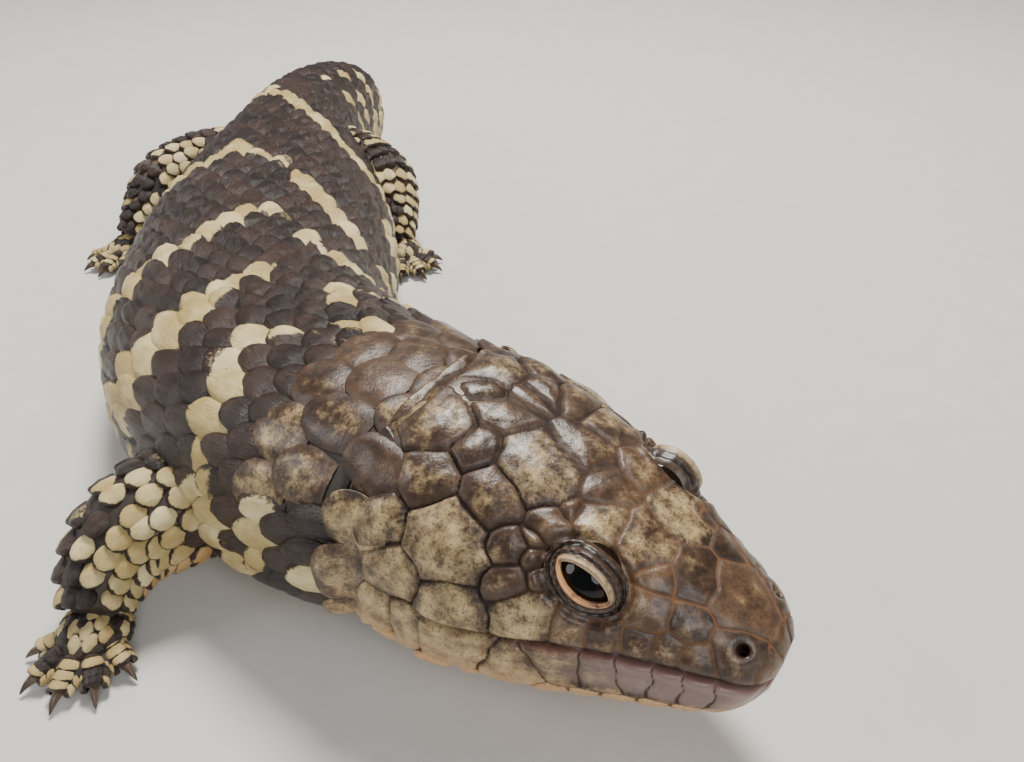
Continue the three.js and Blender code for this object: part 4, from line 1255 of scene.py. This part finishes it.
def clawFinish():
    material, w, shader, place = finish("hornClaw")
    streak = w.noise(place, 700.0, 3.0)
    along = w.value("alongClaw")
    colour = w.mix(w.between(w.plus(along, w.times(streak, 0.3)), 0.2, 0.95),
                   (0.16, 0.105, 0.065, 1), (0.06, 0.037, 0.025, 1))
    w.attach(colour, shader.inputs["Base Color"])
    shader.inputs["Roughness"].default_value = 0.33
    w.attach(w.bump(streak, 0.25, 0.15), shader.inputs["Normal"])
    return material


scaleMaterial, skinMaterial = scaleFinish(), skinFinish()
skin, skinTree = makeSkin()
skin.data.materials.append(skinMaterial)
shields = makeHead()
headMaterial = headFinish()
shields.data.materials.append(headMaterial)
napeCoat("napeScales").data.materials.append(headMaterial)
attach(shields, "root")
lidMaterial, eyeMaterial, clawMaterial = lidFinish(), eyeFinish(), clawFinish()
for side, word in ((1, "Left"), (-1, "Right")):
    lids = makeLids(side, "eyelids" + word)
    lids.data.materials.append(lidMaterial)
    eye = makeEye(side, "eyeball" + word, "eye_" + word.lower())
    eye.data.materials.append(eyeMaterial)
for name in coats:
    bodyCoat(name, skinTree).data.materials.append(scaleMaterial)
for number, (name, leg) in enumerate(legs.items()):
    limb, word = name.split("leg_")
    coat = limbCoat(limb + "Leg" + word.capitalize() + "Scales", leg, number, skinTree)
    coat.data.materials.append(scaleMaterial)
    nodes = [f"claw_{limb}_{word}_{k}" for k in range(1, 6)]
    makeClaws(leg, limb + "Claws" + word.capitalize(), nodes).data.materials.append(clawMaterial)


# Floor and soft studio light
def makeFloor(reach=1500):
    corners = ((-1, -1, 0), (1, -1, 0), (1, 1, 0), (-1, 1, 0))
    floor = makeMesh("floor", np.array(corners, float) * reach, np.array([[0, 1, 2, 3]]))
    material, w, shader, place = finish("paleFloor")
    speck = w.noise(place, 90.0, 4.0)
    w.attach(w.mix(speck, (0.56, 0.54, 0.5, 1), (0.62, 0.6, 0.565, 1)), shader.inputs["Base Color"])
    shader.inputs["Roughness"].default_value = 0.75
    floor.data.materials.append(material)


def areaLight(name, place, aim, size, watts, colour):
    data = bpy.data.lights.new(name, "AREA")
    data.shape = "DISK"
    data.size = size
    data.energy = watts
    data.color = colour
    light = bpy.data.objects.new(name, data)
    light.location = place
    light.rotation_euler = (Vector(aim) - Vector(place)).to_track_quat("-Z", "Y").to_euler()
    bpy.context.scene.collection.objects.link(light)


makeFloor()
areaLight("keyLight", (0.12, 0.3, 0.85), (0.0, -0.03, 0.02), 0.3, 15.0, (1.0, 0.96, 0.9))
areaLight("fillLight", (0.35, -0.85, 0.6), (0.0, -0.05, 0.02), 0.7, 6.0, (0.95, 0.97, 1.0))
areaLight("sideLight", (-0.8, -0.1, 0.5), (0.0, 0.0, 0.03), 0.5, 3.0, (1.0, 1.0, 1.0))
world = bpy.data.worlds.new("studio")
world.use_nodes = True
world.node_tree.nodes["Background"].inputs["Color"].default_value = (0.75, 0.78, 0.82, 1)
world.node_tree.nodes["Background"].inputs["Strength"].default_value = 0.28
bpy.context.scene.world = world
